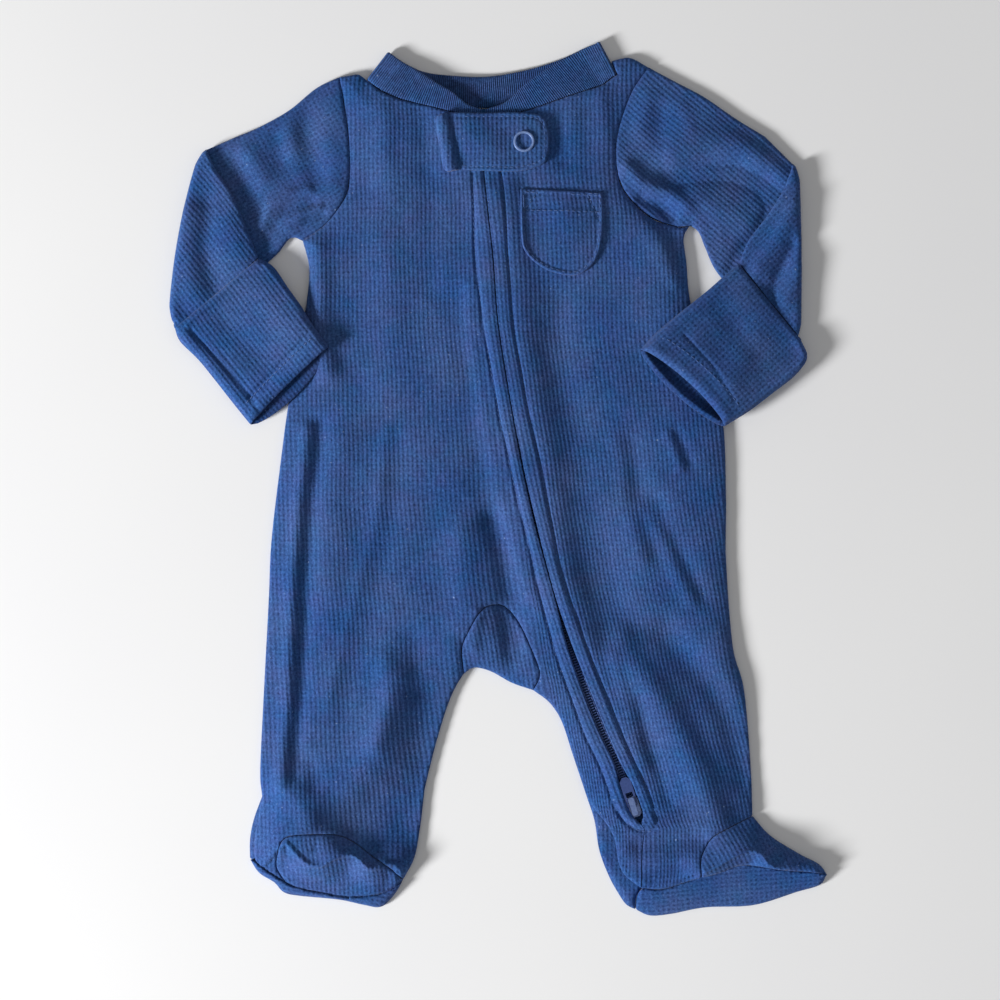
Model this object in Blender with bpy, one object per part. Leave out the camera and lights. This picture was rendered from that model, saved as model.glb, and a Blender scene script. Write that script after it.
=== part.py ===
"""Newborn footed zip sleeper of waffle knit, lying flat on its back.

Sides are the wearer's: the wearer's right is at -X, the neck is at +Y, and the front faces +Z.
Tables are in millimetres in the plan of the garment, and every solid is scaled to metres at the end.
"""
import math

import bmesh
import bpy
import numpy as np
from mathutils import Matrix, Vector
from mathutils.geometry import delaunay_2d_cdt

MM = 0.001
CENTRE = (1.1, -0.66)   # middle of the garment's outline, which the part is centred on

# ---- Driving sizes, mm -------------------------------------------------------------------------
WALL = 1.25             # one layer of waffle knit
SEAM = 0.3              # gap between two pieces at a seam
EDGE_DROP = 0.6         # how far an edge rounds down
EDGE_RING = 1.3         # width of that rounding
FRONT_LOW = 1.75        # underside of the front layer where it meets the back
PUFF = 2.4              # how far the front layer stands up inside the outline
PUFF_REACH = 10.0       # distance over which it rises
EASE = 0.8              # softness of the front layer above its underside
EASE_REACH = 6.0        # distance over which it sets in
WELT_RISE = 0.9         # turned edge beside the zip
WELT_SLOPE = 1.5        # width of its outer slope
WELT_GROOVE = 0.35      # depth of its line of stitching
WELT_FADE = 8.0         # distance over which it rises below the neck
RIM_STEP = 7.0          # spacing of points along an outline
FIELD_STEP = 15.0       # spacing of points inside a front panel
UNDER_STEP = 26.0       # spacing of points on an underside
FINE_STEP = 4.0         # spacing of points on a line that heights are measured from
SLEEVE_HEIGHT = 3.0     # two layers of a flat sleeve
SLEEVE_STEP = 12.0      # spacing of its sections
CUFF_STEP = 9.0         # spacing of a cuff's sections
BAND_STEP = 7.0         # spacing of the neckband's sections
CUFF_WALL = 1.9         # doubled cloth of a cuff
BAND_THICK = 1.9        # doubled rib of the neckband
BAND_ROUND = 0.5        # rounding of its edges
TUCK = 0.5              # space inside a fold
TAB_THICK = 2.0
POCKET_THICK = 1.1
SOLE_RIM = 2.9          # sole where it rolls up beside the foot
HEEL_CLEAR = 2.0        # where that roll starts beside the heel seam
LEAST_APART = 0.5       # nearest that two points of a surface lie
LINE_POINTS = 17        # points on the plan line of a section

# ---- Outline of the body: x, y -----------------------------------------------------------------
NECK_END_R = (-68.5, 211.0)
NECK_END_L = (64.8, 213.6)
SHOULDER_R = (NECK_END_R, (-72.5, 214.0), (-77.0, 213.5), (-83.0, 212.5))
SHOULDER_L = ((61.1, 220.9), (67.0, 222.5), (72.5, 222.5), (81.5, 217.5))
ARMHOLE_R = ((-83.0, 212.5), (-81.5, 201.0), (-78.5, 180.0), (-78.0, 160.0), (-80.5, 148.5),
             (-89.5, 135.5), (-98.5, 128.5), (-102.5, 126.0))
ARMHOLE_L = ((81.5, 217.5), (72.5, 204.5), (65.5, 185.0), (64.0, 171.5), (67.5, 153.5),
             (81.5, 138.5), (96.5, 133.0), (103.0, 133.5))
SIDE_R = ((-102.5, 126.0), (-99.0, 111.0), (-100.5, 92.5), (-104.5, 67.5), (-110.0, 39.0),
          (-114.0, 9.5), (-119.0, -33.0), (-120.5, -65.0), (-123.0, -112.5), (-125.0, -155.0),
          (-124.0, -169.0))
SIDE_L = ((103.0, 133.5), (100.0, 127.0), (101.5, 114.0), (104.0, 91.5), (114.5, 62.5),
          (121.0, 28.5), (122.5, -12.0), (122.5, -43.5), (126.0, -89.0), (132.0, -112.5),
          (135.5, -152.5), (136.5, -179.5))
INNER_R = ((-37.5, -165.5), (-34.0, -151.0), (-31.0, -139.5), (-26.0, -123.0), (-21.5, -112.0),
           (-17.0, -104.5))
CROTCH = ((-17.0, -104.5), (-11.5, -101.0), (-2.5, -103.0), (8.5, -109.0), (20.0, -113.0))
INNER_L = ((20.0, -113.0), (28.5, -119.5), (35.0, -129.5), (41.0, -147.5), (48.5, -170.0))
GUSSET_ARC = ((-17.0, -104.5), (-18.0, -91.5), (-15.0, -83.0), (-8.0, -71.0), (-1.5, -67.5),
              (5.5, -69.0), (13.0, -78.0), (20.5, -94.5), (23.5, -104.5), (20.0, -113.0))

# ---- Feet: x, y --------------------------------------------------------------------------------
FOOT_R_SIDE = ((-124.0, -169.0), (-128.5, -181.5), (-130.5, -192.0), (-130.5, -202.5))
FOOT_R_TOE = ((-130.5, -202.5), (-125.5, -210.0), (-117.5, -215.0), (-112.5, -220.3),
              (-104.0, -222.2), (-83.0, -224.2), (-70.0, -227.0), (-60.5, -228.0),
              (-53.0, -220.7), (-49.0, -213.5))
FOOT_R_INNER = ((-49.0, -213.5), (-43.0, -202.0), (-40.0, -186.5), (-37.5, -165.5))
HEEL_R = ((-130.5, -202.5), (-103.5, -207.0), (-72.0, -205.0), (-43.0, -202.0))
ANKLE_SEAM_R = ((-124.0, -169.0), (-126.5, -183.5), (-128.5, -196.5), (-127.0, -204.0))
FRONT_SOLE_R = ((-127.0, -204.0), (-119.5, -210.0), (-111.5, -214.5))
VAMP_SIDE_R = ((-111.5, -214.5), (-116.0, -206.0), (-114.5, -196.0))
VAMP_ARC_R = ((-114.5, -196.0), (-112.0, -191.0), (-105.5, -188.5), (-85.5, -188.5),
              (-74.5, -193.0), (-65.5, -200.0), (-56.0, -206.5), (-49.0, -213.5))
VAMP_SOLE_R = ((-111.5, -214.5), (-105.0, -217.5), (-95.5, -219.5), (-82.0, -222.5),
               (-64.5, -221.5), (-54.0, -218.0), (-49.0, -213.5))
HEEL_EDGE_L = ((48.5, -170.0), (52.5, -182.5), (55.0, -198.0), (60.0, -211.5), (65.5, -221.5),
               (69.5, -227.0), (74.5, -229.5))
FOOT_L_RIM = ((74.5, -229.5), (82.0, -232.7), (93.5, -231.8), (111.5, -228.4), (137.0, -227.2),
              (160.0, -220.2), (172.5, -216.3), (175.8, -210.5))
TOE_L_RIM = ((175.8, -210.5), (172.0, -205.3), (161.0, -199.5), (146.0, -190.0), (136.5, -179.5))
HEEL_L = ((74.5, -229.5), (75.0, -222.5), (80.0, -216.5), (98.0, -209.5), (129.5, -190.0),
          (136.5, -179.5))
ANKLE_SEAM_L = ((48.5, -170.0), (54.5, -178.5), (59.0, -184.0), (63.0, -192.0), (65.0, -203.5),
                (68.5, -211.0), (77.0, -217.5))
FRONT_SOLE_L = ((77.0, -217.5), (89.5, -218.0), (109.0, -211.5))
VAMP_ARC_L = ((109.0, -211.5), (108.5, -202.5), (111.5, -195.5), (115.5, -190.0),
              (122.5, -186.0), (136.5, -179.5))
VAMP_SOLE_L = ((109.0, -211.5), (119.0, -209.0), (128.5, -205.5), (141.0, -206.0),
               (156.0, -208.0), (167.5, -209.0), (175.8, -210.5))
SHIN_SEAM_L = ((79.0, -186.0), (77.5, -201.5), (77.0, -217.5))
WAVE_AT = (-79.0, -209.0)                           # a crest of the right vamp's two waves
WAVE_LONG = 42.0
WAVE_HALF = 7.0
WAVE_HEIGHT = 0.6

# ---- Zip, from the neck to the ankle: y, centre x, welt width right, left, half gap ------------
ZIP_ROWS = (
    (190.5, -6.5, 6.0, 9.0, 0.8),
    (160.5, -6.0, 6.5, 9.0, 0.8),
    (118.0, -1.5, 9.0, 8.0, 0.8),
    (80.5, 1.5, 7.5, 8.3, 0.9),
    (36.5, 8.5, 7.5, 8.2, 0.9),
    (-4.5, 16.5, 6.5, 9.2, 0.9),
    (-43.5, 26.0, 6.5, 7.7, 1.3),
    (-82.0, 37.0, 8.5, 8.3, 2.3),
    (-106.5, 45.5, 9.5, 9.4, 2.3),
    (-133.0, 56.0, 10.0, 10.0, 2.2),
    (-151.0, 64.3, 9.5, 10.0, 4.0),
    (-163.0, 68.8, 9.5, 10.5, 5.0),
    (-175.0, 73.2, 9.5, 10.5, 5.0),
    (-183.0, 76.8, 8.0, 8.5, 3.8),
    (-186.0, 79.0, 6.0, 6.0, 0.0),
)
ZIP_TOP = 188.0
ZIP_END = -186.0
WELT_TOP = 160.0
TAPE_OUT = 7.0
TAPE_IN = 2.4
TAPE_THICK = 0.6
STRIP_ROWS = 44         # sections of a tape and of the coil
COIL_HALF = 2.1
COIL_THICK = 1.0

# ---- Folds of the front: x0, y0, x1, y1, half width, height ------------------------------------
FOLDS = (
    (-118.0, -45.0, -120.0, -155.0, 5.0, 0.8),      # outer edge of the right leg
    (-106.0, 5.0, -110.5, -150.0, 6.5, -0.9),       # trough beside it
    (-57.0, -112.0, -61.0, -165.0, 7.0, -0.9),      # trough above the right ankle
    (-88.0, -12.0, -90.5, -150.0, 12.0, 0.5),       # front of the right thigh
    (-35.0, -35.0, -48.0, -140.0, 9.0, 0.7),        # inner thigh
    (-9.5, -44.0, 0.0, -62.0, 9.0, -0.9),           # hollow above the gusset
    (-16.0, 94.0, -13.5, 30.0, 7.0, 0.7),           # ridge beside the zip, chest
    (-13.5, 30.0, 7.0, -42.0, 7.0, 0.7),            # and down to the hip
    (19.0, 94.0, 26.0, 30.0, 7.0, -0.7),            # trough beside the zip, chest
    (26.0, 30.0, 50.0, -66.0, 8.0, -0.7),           # and down to the hip
    (74.0, -88.0, 126.0, -148.0, 12.0, -1.0),       # slanting trough of the left thigh
    (122.0, -140.0, 126.0, -176.0, 10.0, -0.8),     # outer side of the left shin
    (88.0, -112.0, 103.0, -172.0, 10.0, 0.7),       # front of the left shin
    (-88.0, 130.0, -80.0, 74.0, 9.0, -0.7),         # under the right arm
    (-96.0, -190.0, -58.0, -194.0, 9.0, -1.0),      # sunk ankle of the right foot
    (89.0, -192.0, 112.0, -191.0, 4.5, -0.7),       # crease across the left ankle
    (-90.0, 64.0, -107.0, 44.0, 14.0, -1.1),        # pressed down by the right cuff
    (84.0, 64.0, 112.0, 36.0, 17.0, -1.1),          # and by the left cuff
    (-70.0, 205.0, -80.0, 190.0, 6.0, 0.5),         # right shoulder
)

# ---- Sleeves: ax, ay on the upper side, bx, by on the under side, share of the armhole's curve,
#      share of the soft lift of the upper arm ---------------------------------------------------
UPPER_ARM_R = ((-83.0, 212.5, -102.5, 126.0, 1.0, 1.0), (-95.0, 206.8, -109.0, 127.0, 0.5, 1.0),
               (-109.5, 195.0, -116.5, 118.0, 0.2, 1.0), (-125.5, 186.0, -130.0, 107.5, 0.0, 0.0),
               (-139.0, 180.3, -148.5, 97.5, 0.0, 0.0))
ELBOW_R = (-153.3, 174.0, -170.3, 81.5, -3.2)       # ax, ay, bx, by of the fold, bow outward
FOREARM_R = ((-148.5, 163.5, -170.5, 80.5), (-142.0, 154.0, -170.2, 79.5),
             (-136.5, 144.0, -169.6, 78.6), (-131.5, 131.0, -168.8, 78.0),
             (-125.5, 116.5, -167.9, 77.4))
UPPER_ARM_L = ((81.5, 217.5, 103.5, 134.0, 1.0, 1.0), (95.0, 210.3, 108.0, 130.0, 0.45, 1.0),
               (111.0, 201.8, 111.5, 121.5, 0.2, 1.0), (127.0, 190.8, 117.5, 109.0, 0.0, 0.0),
               (143.0, 181.0, 132.0, 92.5, 0.0, 0.0))
ELBOW_L = (157.8, 166.3, 158.7, 72.5, 0.8)
FOREARM_L = ((153.0, 153.0, 158.9, 72.3), (147.5, 144.0, 159.2, 72.0),
             (142.0, 136.0, 160.0, 71.5), (134.0, 125.5, 160.8, 71.0),
             (129.0, 113.6, 162.0, 73.0))
ARM_LIFT = 0.5
ARM_SIDE = 9.0          # distance from the arm's sides over which its folds set in
# Folds of the upper arms: x0, y0, x1, y1, half width, height
ARM_FOLDS = (
    (-96.0, 203.0, -95.0, 152.0, 5.0, 0.9),
    (-89.0, 150.0, -104.0, 134.0, 5.0, 0.6),
    (-106.0, 190.0, -106.0, 150.0, 5.0, -0.6),
    (70.0, 160.0, 92.0, 155.0, 5.5, 1.0),
    (92.0, 155.0, 103.0, 141.0, 5.5, 0.9),
    (78.0, 149.0, 90.0, 143.0, 5.0, -0.6),
    (90.0, 166.0, 125.0, 166.0, 8.0, -0.6),
    (85.0, 205.0, 92.0, 175.0, 9.0, 0.4),
)
# Cuffs: ax, ay, bx, by, underside at a and at b, height, back the mouth's front draws, lip below
CUFF_R = ((-125.2, 116.1, -167.6, 77.0, 3.4, 3.2, 4.5, 0.0, 0.0),
          (-117.5, 111.5, -167.0, 72.0, 3.5, 2.9, 4.8, 0.0, 0.0),
          (-109.5, 100.0, -157.5, 62.5, 4.0, 2.4, 5.2, 0.0, 0.0),
          (-103.0, 91.0, -148.5, 51.5, 4.7, 2.1, 5.5, 0.0, 0.0),
          (-96.5, 80.5, -139.5, 40.0, 5.7, 2.0, 5.8, 0.0, 0.0),
          (-88.0, 69.0, -129.8, 28.0, 6.4, 2.0, 6.2, 1.0, 6.0))
CUFF_L = ((128.6, 113.2, 161.8, 72.6, 3.4, 3.4, 4.5, 0.0, 0.0),
          (123.0, 108.5, 165.0, 63.5, 3.8, 3.8, 4.8, 0.0, 0.0),
          (112.0, 98.7, 158.5, 54.0, 4.6, 4.3, 5.2, 0.0, 0.0),
          (98.0, 87.5, 146.5, 44.5, 5.6, 4.7, 5.5, 0.0, 0.0),
          (86.0, 77.5, 134.0, 35.0, 6.2, 4.9, 5.8, 0.0, 0.0),
          (76.5, 67.5, 121.0, 27.0, 6.5, 5.0, 6.2, 5.0, 3.0))

# ---- Neckband: lower x, y, upper x, y, underside -----------------------------------------------
BAND_FRONT_R = ((-7.3, 189.5, -7.3, 195.0, 4.0), (-15.5, 191.5, -15.0, 198.0, 4.0),
                (-25.0, 194.0, -23.0, 204.5, 3.9), (-36.0, 197.0, -31.5, 209.5, 3.7),
                (-50.5, 200.5, -41.5, 216.0, 3.2), (-61.0, 205.0, -49.5, 220.5, 2.7))
BAND_FOLD_R = (-66.8, 209.7, -55.3, 224.7)
BAND_BACK = ((-58.5, 206.5, -49.0, 220.5), (-42.5, 200.5, -38.0, 215.5), (-24.0, 197.0, -23.0, 213.5),
             (-3.0, 196.0, -4.0, 213.0), (18.5, 198.5, 16.5, 216.5), (37.0, 204.0, 33.0, 221.5),
             (52.0, 209.5, 45.0, 227.0))
BAND_FOLD_L = (62.6, 212.5, 53.3, 230.4)
BAND_FRONT_L = ((56.5, 208.0, 45.5, 226.5, 2.7), (47.5, 205.0, 34.5, 220.5, 3.2),
                (34.0, 200.5, 23.5, 214.0, 3.7), (20.0, 195.5, 13.5, 206.5, 3.9),
                (6.5, 191.5, 5.5, 199.0, 4.0), (-5.4, 189.0, -5.4, 195.0, 4.0))

# ---- Trim: x, y --------------------------------------------------------------------------------
POCKET = ((13.0, 153.0), (57.0, 151.0), (57.0, 139.0), (56.5, 126.0), (54.0, 116.5), (50.0, 111.0),
          (43.0, 107.0), (34.0, 107.5), (24.5, 111.0), (16.5, 118.0), (13.5, 127.0))
POCKET_HEM = 11.0
HEM_RISE = 0.5
POCKET_CLEAR = 0.4
TAB = ((-33.0, 190.0), (-25.5, 193.0), (-8.0, 193.0), (10.0, 193.3), (23.5, 191.8), (27.5, 186.5),
       (28.5, 179.0), (28.0, 171.0), (25.0, 165.5), (13.0, 162.0), (-3.0, 162.0), (-19.0, 162.5),
       (-27.0, 162.5), (-30.0, 176.0))
TAB_LOW = 6.9
TAB_ROLL = (-29.0, 191.0, -23.0, 162.5)             # ends of the roll's middle line
ROLL_HALF = 3.4
ROLL_RISE = 1.6
SNAP_AT = (15.0, 177.5)
SNAP_OUTER = 5.6
SNAP_INNER = 4.2
SNAP_RISE = 0.9
SNAP_SIDES = 28
SNAP_CLEAR = 0.05

# ---- Slider and pull, mm -----------------------------------------------------------------------
SLIDER_AT = (72.5, -173.3)
SLIDER_TURN = math.radians(17.5)                    # its length leans this far from the garment's
SLIDER_LONG = 11.0
SLIDER_WIDE = 7.0
SLIDER_BACK = 4.2                                   # how far it reaches towards the neck
SLIDER_CLEAR = 0.1                                  # top plate above the panels' underside
PLATE = 0.9
BOTTOM_PLATE = 0.6
CROWN_AT = 0.8                                      # crown's middle, past the slider's
CROWN_LONG = 9.6
CROWN_WIDE = 3.0
CROWN_CLEAR = 1.9
CROWN_THICK = 0.9
POST_LONG = 1.8
POST_WIDE = 1.6
POST_IN = 0.6                                       # post's distance from the slider's wide end
PULL_LONG = 17.0
PULL_WIDE = 6.0
PULL_THICK = 1.1
PULL_BAR = 1.3                                      # bar under the crown
PULL_SLOT_WIDE = 3.8
PULL_SLOT_LONG = 7.4
BAR_AT = 1.2                                        # bar's place past the slider's middle
FOOT_LONG = 0.9                                     # thickness of the crown's two feet
BITE = 0.3                                          # how far joined solids run into each other

COLOURS = {
    "waffle": (0.035, 0.072, 0.215),
    "rib": (0.030, 0.062, 0.190),
    "tape": (0.028, 0.052, 0.145),
    "coil": (0.016, 0.024, 0.060),
    "hardware": (0.075, 0.105, 0.190),
    "snap": (0.080, 0.120, 0.230),
}


# ---- Curves ------------------------------------------------------------------------------------
def smooth(rows, step):
    """Rows about step apart on a Catmull-Rom curve through the given rows; x and y lead."""
    rows = np.array(rows, dtype=float)
    ends = np.vstack((2 * rows[0] - rows[1], rows, 2 * rows[-1] - rows[-2]))
    out = []
    for i in range(1, len(ends) - 2):
        p0, p1, p2, p3 = ends[i - 1:i + 3]
        parts = max(1, round(np.linalg.norm((p2 - p1)[:2]) / step))
        for k in range(parts):
            t = k / parts
            out.append(0.5 * (2 * p1 + (p2 - p0) * t + (2 * p0 - 5 * p1 + 4 * p2 - p3) * t ** 2
                              + (3 * p1 - p0 - 3 * p2 + p3) * t ** 3))
    out.append(ends[-2])
    return np.array(out)


def chain(*edges, step=RIM_STEP):
    """One outline from edges that follow each other, each smoothed between its own ends."""
    points = []
    for edge in edges:
        points.extend(smooth(edge, step))
    kept = [points[0]]
    for point in points[1:]:
        if np.linalg.norm(point - kept[-1]) > LEAST_APART:
            kept.append(point)
    if np.linalg.norm(kept[0] - kept[-1]) < LEAST_APART:
        kept.pop()
    return np.array(kept)


def flip(edge):
    return tuple(reversed(edge))


def signed_area(loop):
    x, y = loop[:, 0], loop[:, 1]
    return 0.5 * np.sum(x * np.roll(y, -1) - np.roll(x, -1) * y)


def inset(loop, distance):
    """The loop moved inward by a distance, corner by corner, in counterclockwise order."""
    if signed_area(loop) < 0:
        loop = loop[::-1]
    before = loop - np.roll(loop, 1, axis=0)
    after = np.roll(loop, -1, axis=0) - loop
    n0 = np.stack((-before[:, 1], before[:, 0]), 1) / np.linalg.norm(before, axis=1)[:, None]
    n1 = np.stack((-after[:, 1], after[:, 0]), 1) / np.linalg.norm(after, axis=1)[:, None]
    middle = n0 + n1
    reach = np.maximum(np.sum(middle * n0, axis=1), 0.5)
    return loop + distance * middle / reach[:, None]


def distance_to(points, line, closed=False):
    """Plan distance from each point to a polyline."""
    points = np.atleast_2d(points)[:, :2]
    ends = np.roll(line, -1, axis=0) if closed else line[1:]
    starts = line if closed else line[:-1]
    best = np.full(len(points), np.inf)
    for a, b in zip(starts[:, :2], ends[:, :2]):
        along = b - a
        t = np.clip((points - a) @ along / max(along @ along, 1e-9), 0, 1)
        best = np.minimum(best, np.linalg.norm(points - a - t[:, None] * along, axis=1))
    return best


def within(points, loop):
    """Whether each point is inside a closed loop."""
    x, y = points[:, 0], points[:, 1]
    odd = np.zeros(len(points), dtype=bool)
    for (ax, ay), (bx, by) in zip(loop, np.roll(loop, -1, axis=0)):
        if ay != by:
            crosses = (ay > y) != (by > y)
            odd ^= crosses & (x < (bx - ax) * (y - ay) / (by - ay) + ax)
    return odd


# ---- Heights -----------------------------------------------------------------------------------
BODY_RIM = [smooth(edge, FINE_STEP) for edge in (
    SHOULDER_R, ARMHOLE_R, SIDE_R, FOOT_R_SIDE, FOOT_R_TOE, FOOT_R_INNER, INNER_R, CROTCH, INNER_L,
    HEEL_EDGE_L, FOOT_L_RIM, TOE_L_RIM, SIDE_L, ARMHOLE_L, SHOULDER_L)]
ZIP_LINE = smooth([(row[1], row[0]) + row[2:] for row in ZIP_ROWS], FINE_STEP)


def rim_distance(points):
    return np.min([distance_to(points, edge) for edge in BODY_RIM], axis=0)


def inside(points):
    """Height of the underside of the front layer."""
    return FRONT_LOW + PUFF * (1 - np.exp(-rim_distance(points) / PUFF_REACH))


def zip_at(y):
    """Centre, welt widths and half gap of the zip at a height on the garment."""
    order = np.argsort(ZIP_LINE[:, 1])
    line = ZIP_LINE[order]
    return [np.interp(y, line[:, 1], line[:, k]) for k in (0, 2, 3, 4)]


def zip_edge(side):
    """Panel edge beside the zip, from the top down; side is -1 for the wearer's right."""
    y = np.linspace(ZIP_TOP, ZIP_END, round((ZIP_TOP - ZIP_END) / RIM_STEP) + 1)
    centre, _, _, gap = zip_at(y)
    return np.stack((centre + side * gap, y), 1)


def welt_line(side, share, shift=0.0):
    """Line along the welt, at a share of the way from the panel's edge to the stitching."""
    y = np.linspace(WELT_TOP, ZIP_END + 6.0, round((WELT_TOP - ZIP_END) / RIM_STEP) - 3)
    centre, right, left, gap = zip_at(y)
    width = right if side < 0 else left
    return np.stack((centre + side * (gap + (width - gap) * share + shift), y), 1)


def welt_rise(points):
    """Height that the turned edges beside the zip add."""
    x, y = points[:, 0], points[:, 1]
    centre, right, left, _ = zip_at(y)
    width = np.where(x < centre, right, left)
    away = width - np.abs(x - centre)
    rise = WELT_RISE * np.clip(away / WELT_SLOPE, 0, 1)
    groove = WELT_GROOVE * np.exp(-away ** 2)
    fade = np.clip((WELT_TOP - y) / WELT_FADE, 0, 1) * np.clip((y - ZIP_END) / 5.0, 0, 1)
    return (rise - groove) * fade


def fold_height(points, folds=FOLDS):
    """Sum of the soft ridges and troughs, each fading towards its ends."""
    total = np.zeros(len(points))
    for x0, y0, x1, y1, half, height in folds:
        a, along = np.array((x0, y0)), np.array((x1 - x0, y1 - y0))
        t = np.clip((points - a) @ along / (along @ along), 0, 1)
        away = np.linalg.norm(points - a - t[:, None] * along, axis=1)
        total += height * np.exp(-(away / half) ** 2)
    return total


def front_top(points):
    """Height of the outer face of the front layer."""
    ease = EASE * (1 - np.exp(-rim_distance(points) / EASE_REACH))
    soft = np.maximum(ease + fold_height(points) * ease / EASE, 0.0)
    return inside(points) + WALL + soft + welt_rise(points)


# ---- Solids ------------------------------------------------------------------------------------
def material(name):
    made = bpy.data.materials.get(name) or bpy.data.materials.new(name)
    made.use_nodes = True
    shader = made.node_tree.nodes["Principled BSDF"]
    shader.inputs["Base Color"].default_value = (*COLOURS[name], 1.0)
    hard = name in ("hardware", "snap")
    shader.inputs["Roughness"].default_value = 0.35 if hard else 0.9
    shader.inputs["Metallic"].default_value = 0.6 if hard else 0.0
    made.diffuse_color = (*COLOURS[name], 1.0)
    return made


def make(name, verts, faces, colour):
    """An object from millimetre points, its faces turned outward."""
    mesh = bpy.data.meshes.new(name)
    points = (np.array(verts, dtype=float) - (*CENTRE, 0.0)) * MM
    mesh.from_pydata([tuple(p) for p in points], [], [tuple(int(i) for i in f) for f in faces])
    bm = bmesh.new()
    bm.from_mesh(mesh)
    bmesh.ops.recalc_face_normals(bm, faces=bm.faces)
    bm.to_mesh(mesh)
    bm.free()
    mesh.materials.append(material(colour))
    obj = bpy.data.objects.new(name, mesh)
    bpy.context.scene.collection.objects.link(obj)
    return obj


def field(loop, step, clear):
    """Staggered grid of points inside a loop, kept clear of its edge."""
    low, high = loop.min(axis=0), loop.max(axis=0)
    points = []
    row = 0
    y = low[1] + step / 2
    while y < high[1]:
        shift = step / 2 if row % 2 else 0.0
        points.extend((x, y) for x in np.arange(low[0] + shift, high[0], step))
        y += step * 0.87
        row += 1
    points = np.array(points).reshape(-1, 2)
    if not len(points):
        return points
    points = points[within(points, loop)]
    return points[distance_to(points, loop, closed=True) > clear]


def triangles(loop, points):
    """Delaunay triangles of a loop and the points inside it; the loop's points come first."""
    coords = [Vector(p) for p in loop] + [Vector(p) for p in points]
    face = list(range(len(loop)))
    out, _, faces, origin, _, _ = delaunay_2d_cdt(coords, [], [face], 1, 1e-4)
    place = {i: ids[0] for i, ids in enumerate(origin)}
    return [tuple(place[i] for i in f) for f in faces]


def gather(loop, lines, step):
    """Points of the lines that lie inside a loop, and a grid between them."""
    kept = np.zeros((0, 2))
    for line in lines:
        line = np.array(line)
        line = line[within(line, loop)]
        line = line[distance_to(line, loop, closed=True) > LEAST_APART]
        kept = np.vstack((kept, apart_from(line, kept, LEAST_APART)))
    grid = field(loop, step, step * 0.45)
    return np.vstack((kept, apart_from(grid, kept, step * 0.4)))


def apart_from(points, others, distance):
    """The points that keep a distance to all the others."""
    if not len(points) or not len(others):
        return points
    return points[np.linalg.norm(points[:, None] - others[None], axis=2).min(axis=1) > distance]


def sheet(name, loop, top, bottom, colour="waffle", step=FIELD_STEP, under_step=UNDER_STEP,
          lines=(), under_lines=(), ring=True, drop=EDGE_DROP):
    """A closed wall between two height functions inside an outline."""
    loop = inset(loop, SEAM / 2)
    rounding = [inset(loop, EDGE_RING)] if ring else []
    upper = gather(loop, list(lines) + rounding, step)
    lower = gather(loop, under_lines, under_step)
    n, m = len(loop), len(upper)
    tops = np.concatenate((top(loop) - drop, top(upper) if m else np.zeros(0)))
    lows = bottom(np.vstack((loop, lower)))
    verts = np.column_stack((np.vstack((loop, upper)), tops))
    verts = np.vstack((verts, np.column_stack((np.vstack((loop, lower)), lows))))
    faces = triangles(loop, upper)
    faces += [tuple(i + n + m for i in reversed(f)) for f in triangles(loop, lower)]
    for i in range(n):
        j = (i + 1) % n
        faces.append((i, n + m + i, n + m + j, j))
    return make(name, verts, faces, colour)


def flat(height):
    return lambda points: np.full(len(points), float(height))


def bridge(rings, start):
    """Quads between neighbouring rings of equal length."""
    n = len(rings[0])
    return [(start + k * n + i, start + k * n + (i + 1) % n,
             start + (k + 1) * n + (i + 1) % n, start + (k + 1) * n + i)
            for k in range(len(rings) - 1) for i in range(n)]


def tube(name, outer, inner, colour="waffle"):
    """A wall between an outer and an inner row of rings, open at both ends."""
    n, count = len(outer[0]), len(outer)
    faces = bridge(outer, 0) + bridge(inner, n * count)
    for k in (0, count - 1):
        for i in range(n):
            j = (i + 1) % n
            faces.append((k * n + i, k * n + j, (count + k) * n + j, (count + k) * n + i))
    return make(name, np.vstack(list(outer) + list(inner)), faces, colour)


def bar(name, rings, colour):
    """A solid through rings, closed by a face at each end."""
    n, count = len(rings[0]), len(rings)
    faces = bridge(rings, 0)
    faces.append(tuple(range(n)))
    faces.append(tuple(range((count - 1) * n, count * n)))
    return make(name, np.vstack(rings), faces, colour)


# ---- Flat tubes and bands ----------------------------------------------------------------------
def stadium(width, height, wall, straight=8, turn=3):
    """Cross-section of a flat tube, wall mm inside its outer size, as (across, up)."""
    r = height / 2 - wall
    near, far = wall + r, width - wall - r
    out = []
    for k in range(turn + 1):
        a = -math.pi / 2 + math.pi * k / turn
        out.append((far + r * math.cos(a), height / 2 + r * math.sin(a)))
    for k in range(1, straight + 1):
        out.append((far + (near - far) * k / (straight + 1), height - wall))
    for k in range(turn + 1):
        a = math.pi / 2 + math.pi * k / turn
        out.append((near + r * math.cos(a), height / 2 + r * math.sin(a)))
    for k in range(1, straight + 1):
        out.append((near + (far - near) * k / (straight + 1), wall))
    return np.array(out)


def across(line, share):
    """Points at shares of a polyline's length, given by arc length."""
    steps = np.linalg.norm(np.diff(line, axis=0), axis=1)
    run = np.concatenate(((0.0,), np.cumsum(steps))) / steps.sum()
    return np.stack([np.interp(share, run, line[:, k]) for k in range(line.shape[1])], 1)


def straight_line(a, b, bow=0.0):
    """Plan line from a to b, bowed to the left of its direction."""
    a, b = np.array(a, dtype=float), np.array(b, dtype=float)
    s = np.linspace(0, 1, LINE_POINTS)
    side = np.array((-(b - a)[1], (b - a)[0])) / np.linalg.norm(b - a)
    return a + (b - a) * s[:, None] + side * (4 * bow * s * (1 - s))[:, None]


def section(line, base, up, profile, width):
    """Ring of points: profile across is measured along the plan line, up from its base height."""
    share = profile[:, 0] / width
    plan = across(np.array(line), share)
    z = base(share) if callable(base) else np.full(len(share), float(base))
    return np.column_stack((plan, z)) + profile[:, 1:2] * np.array(up)


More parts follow.
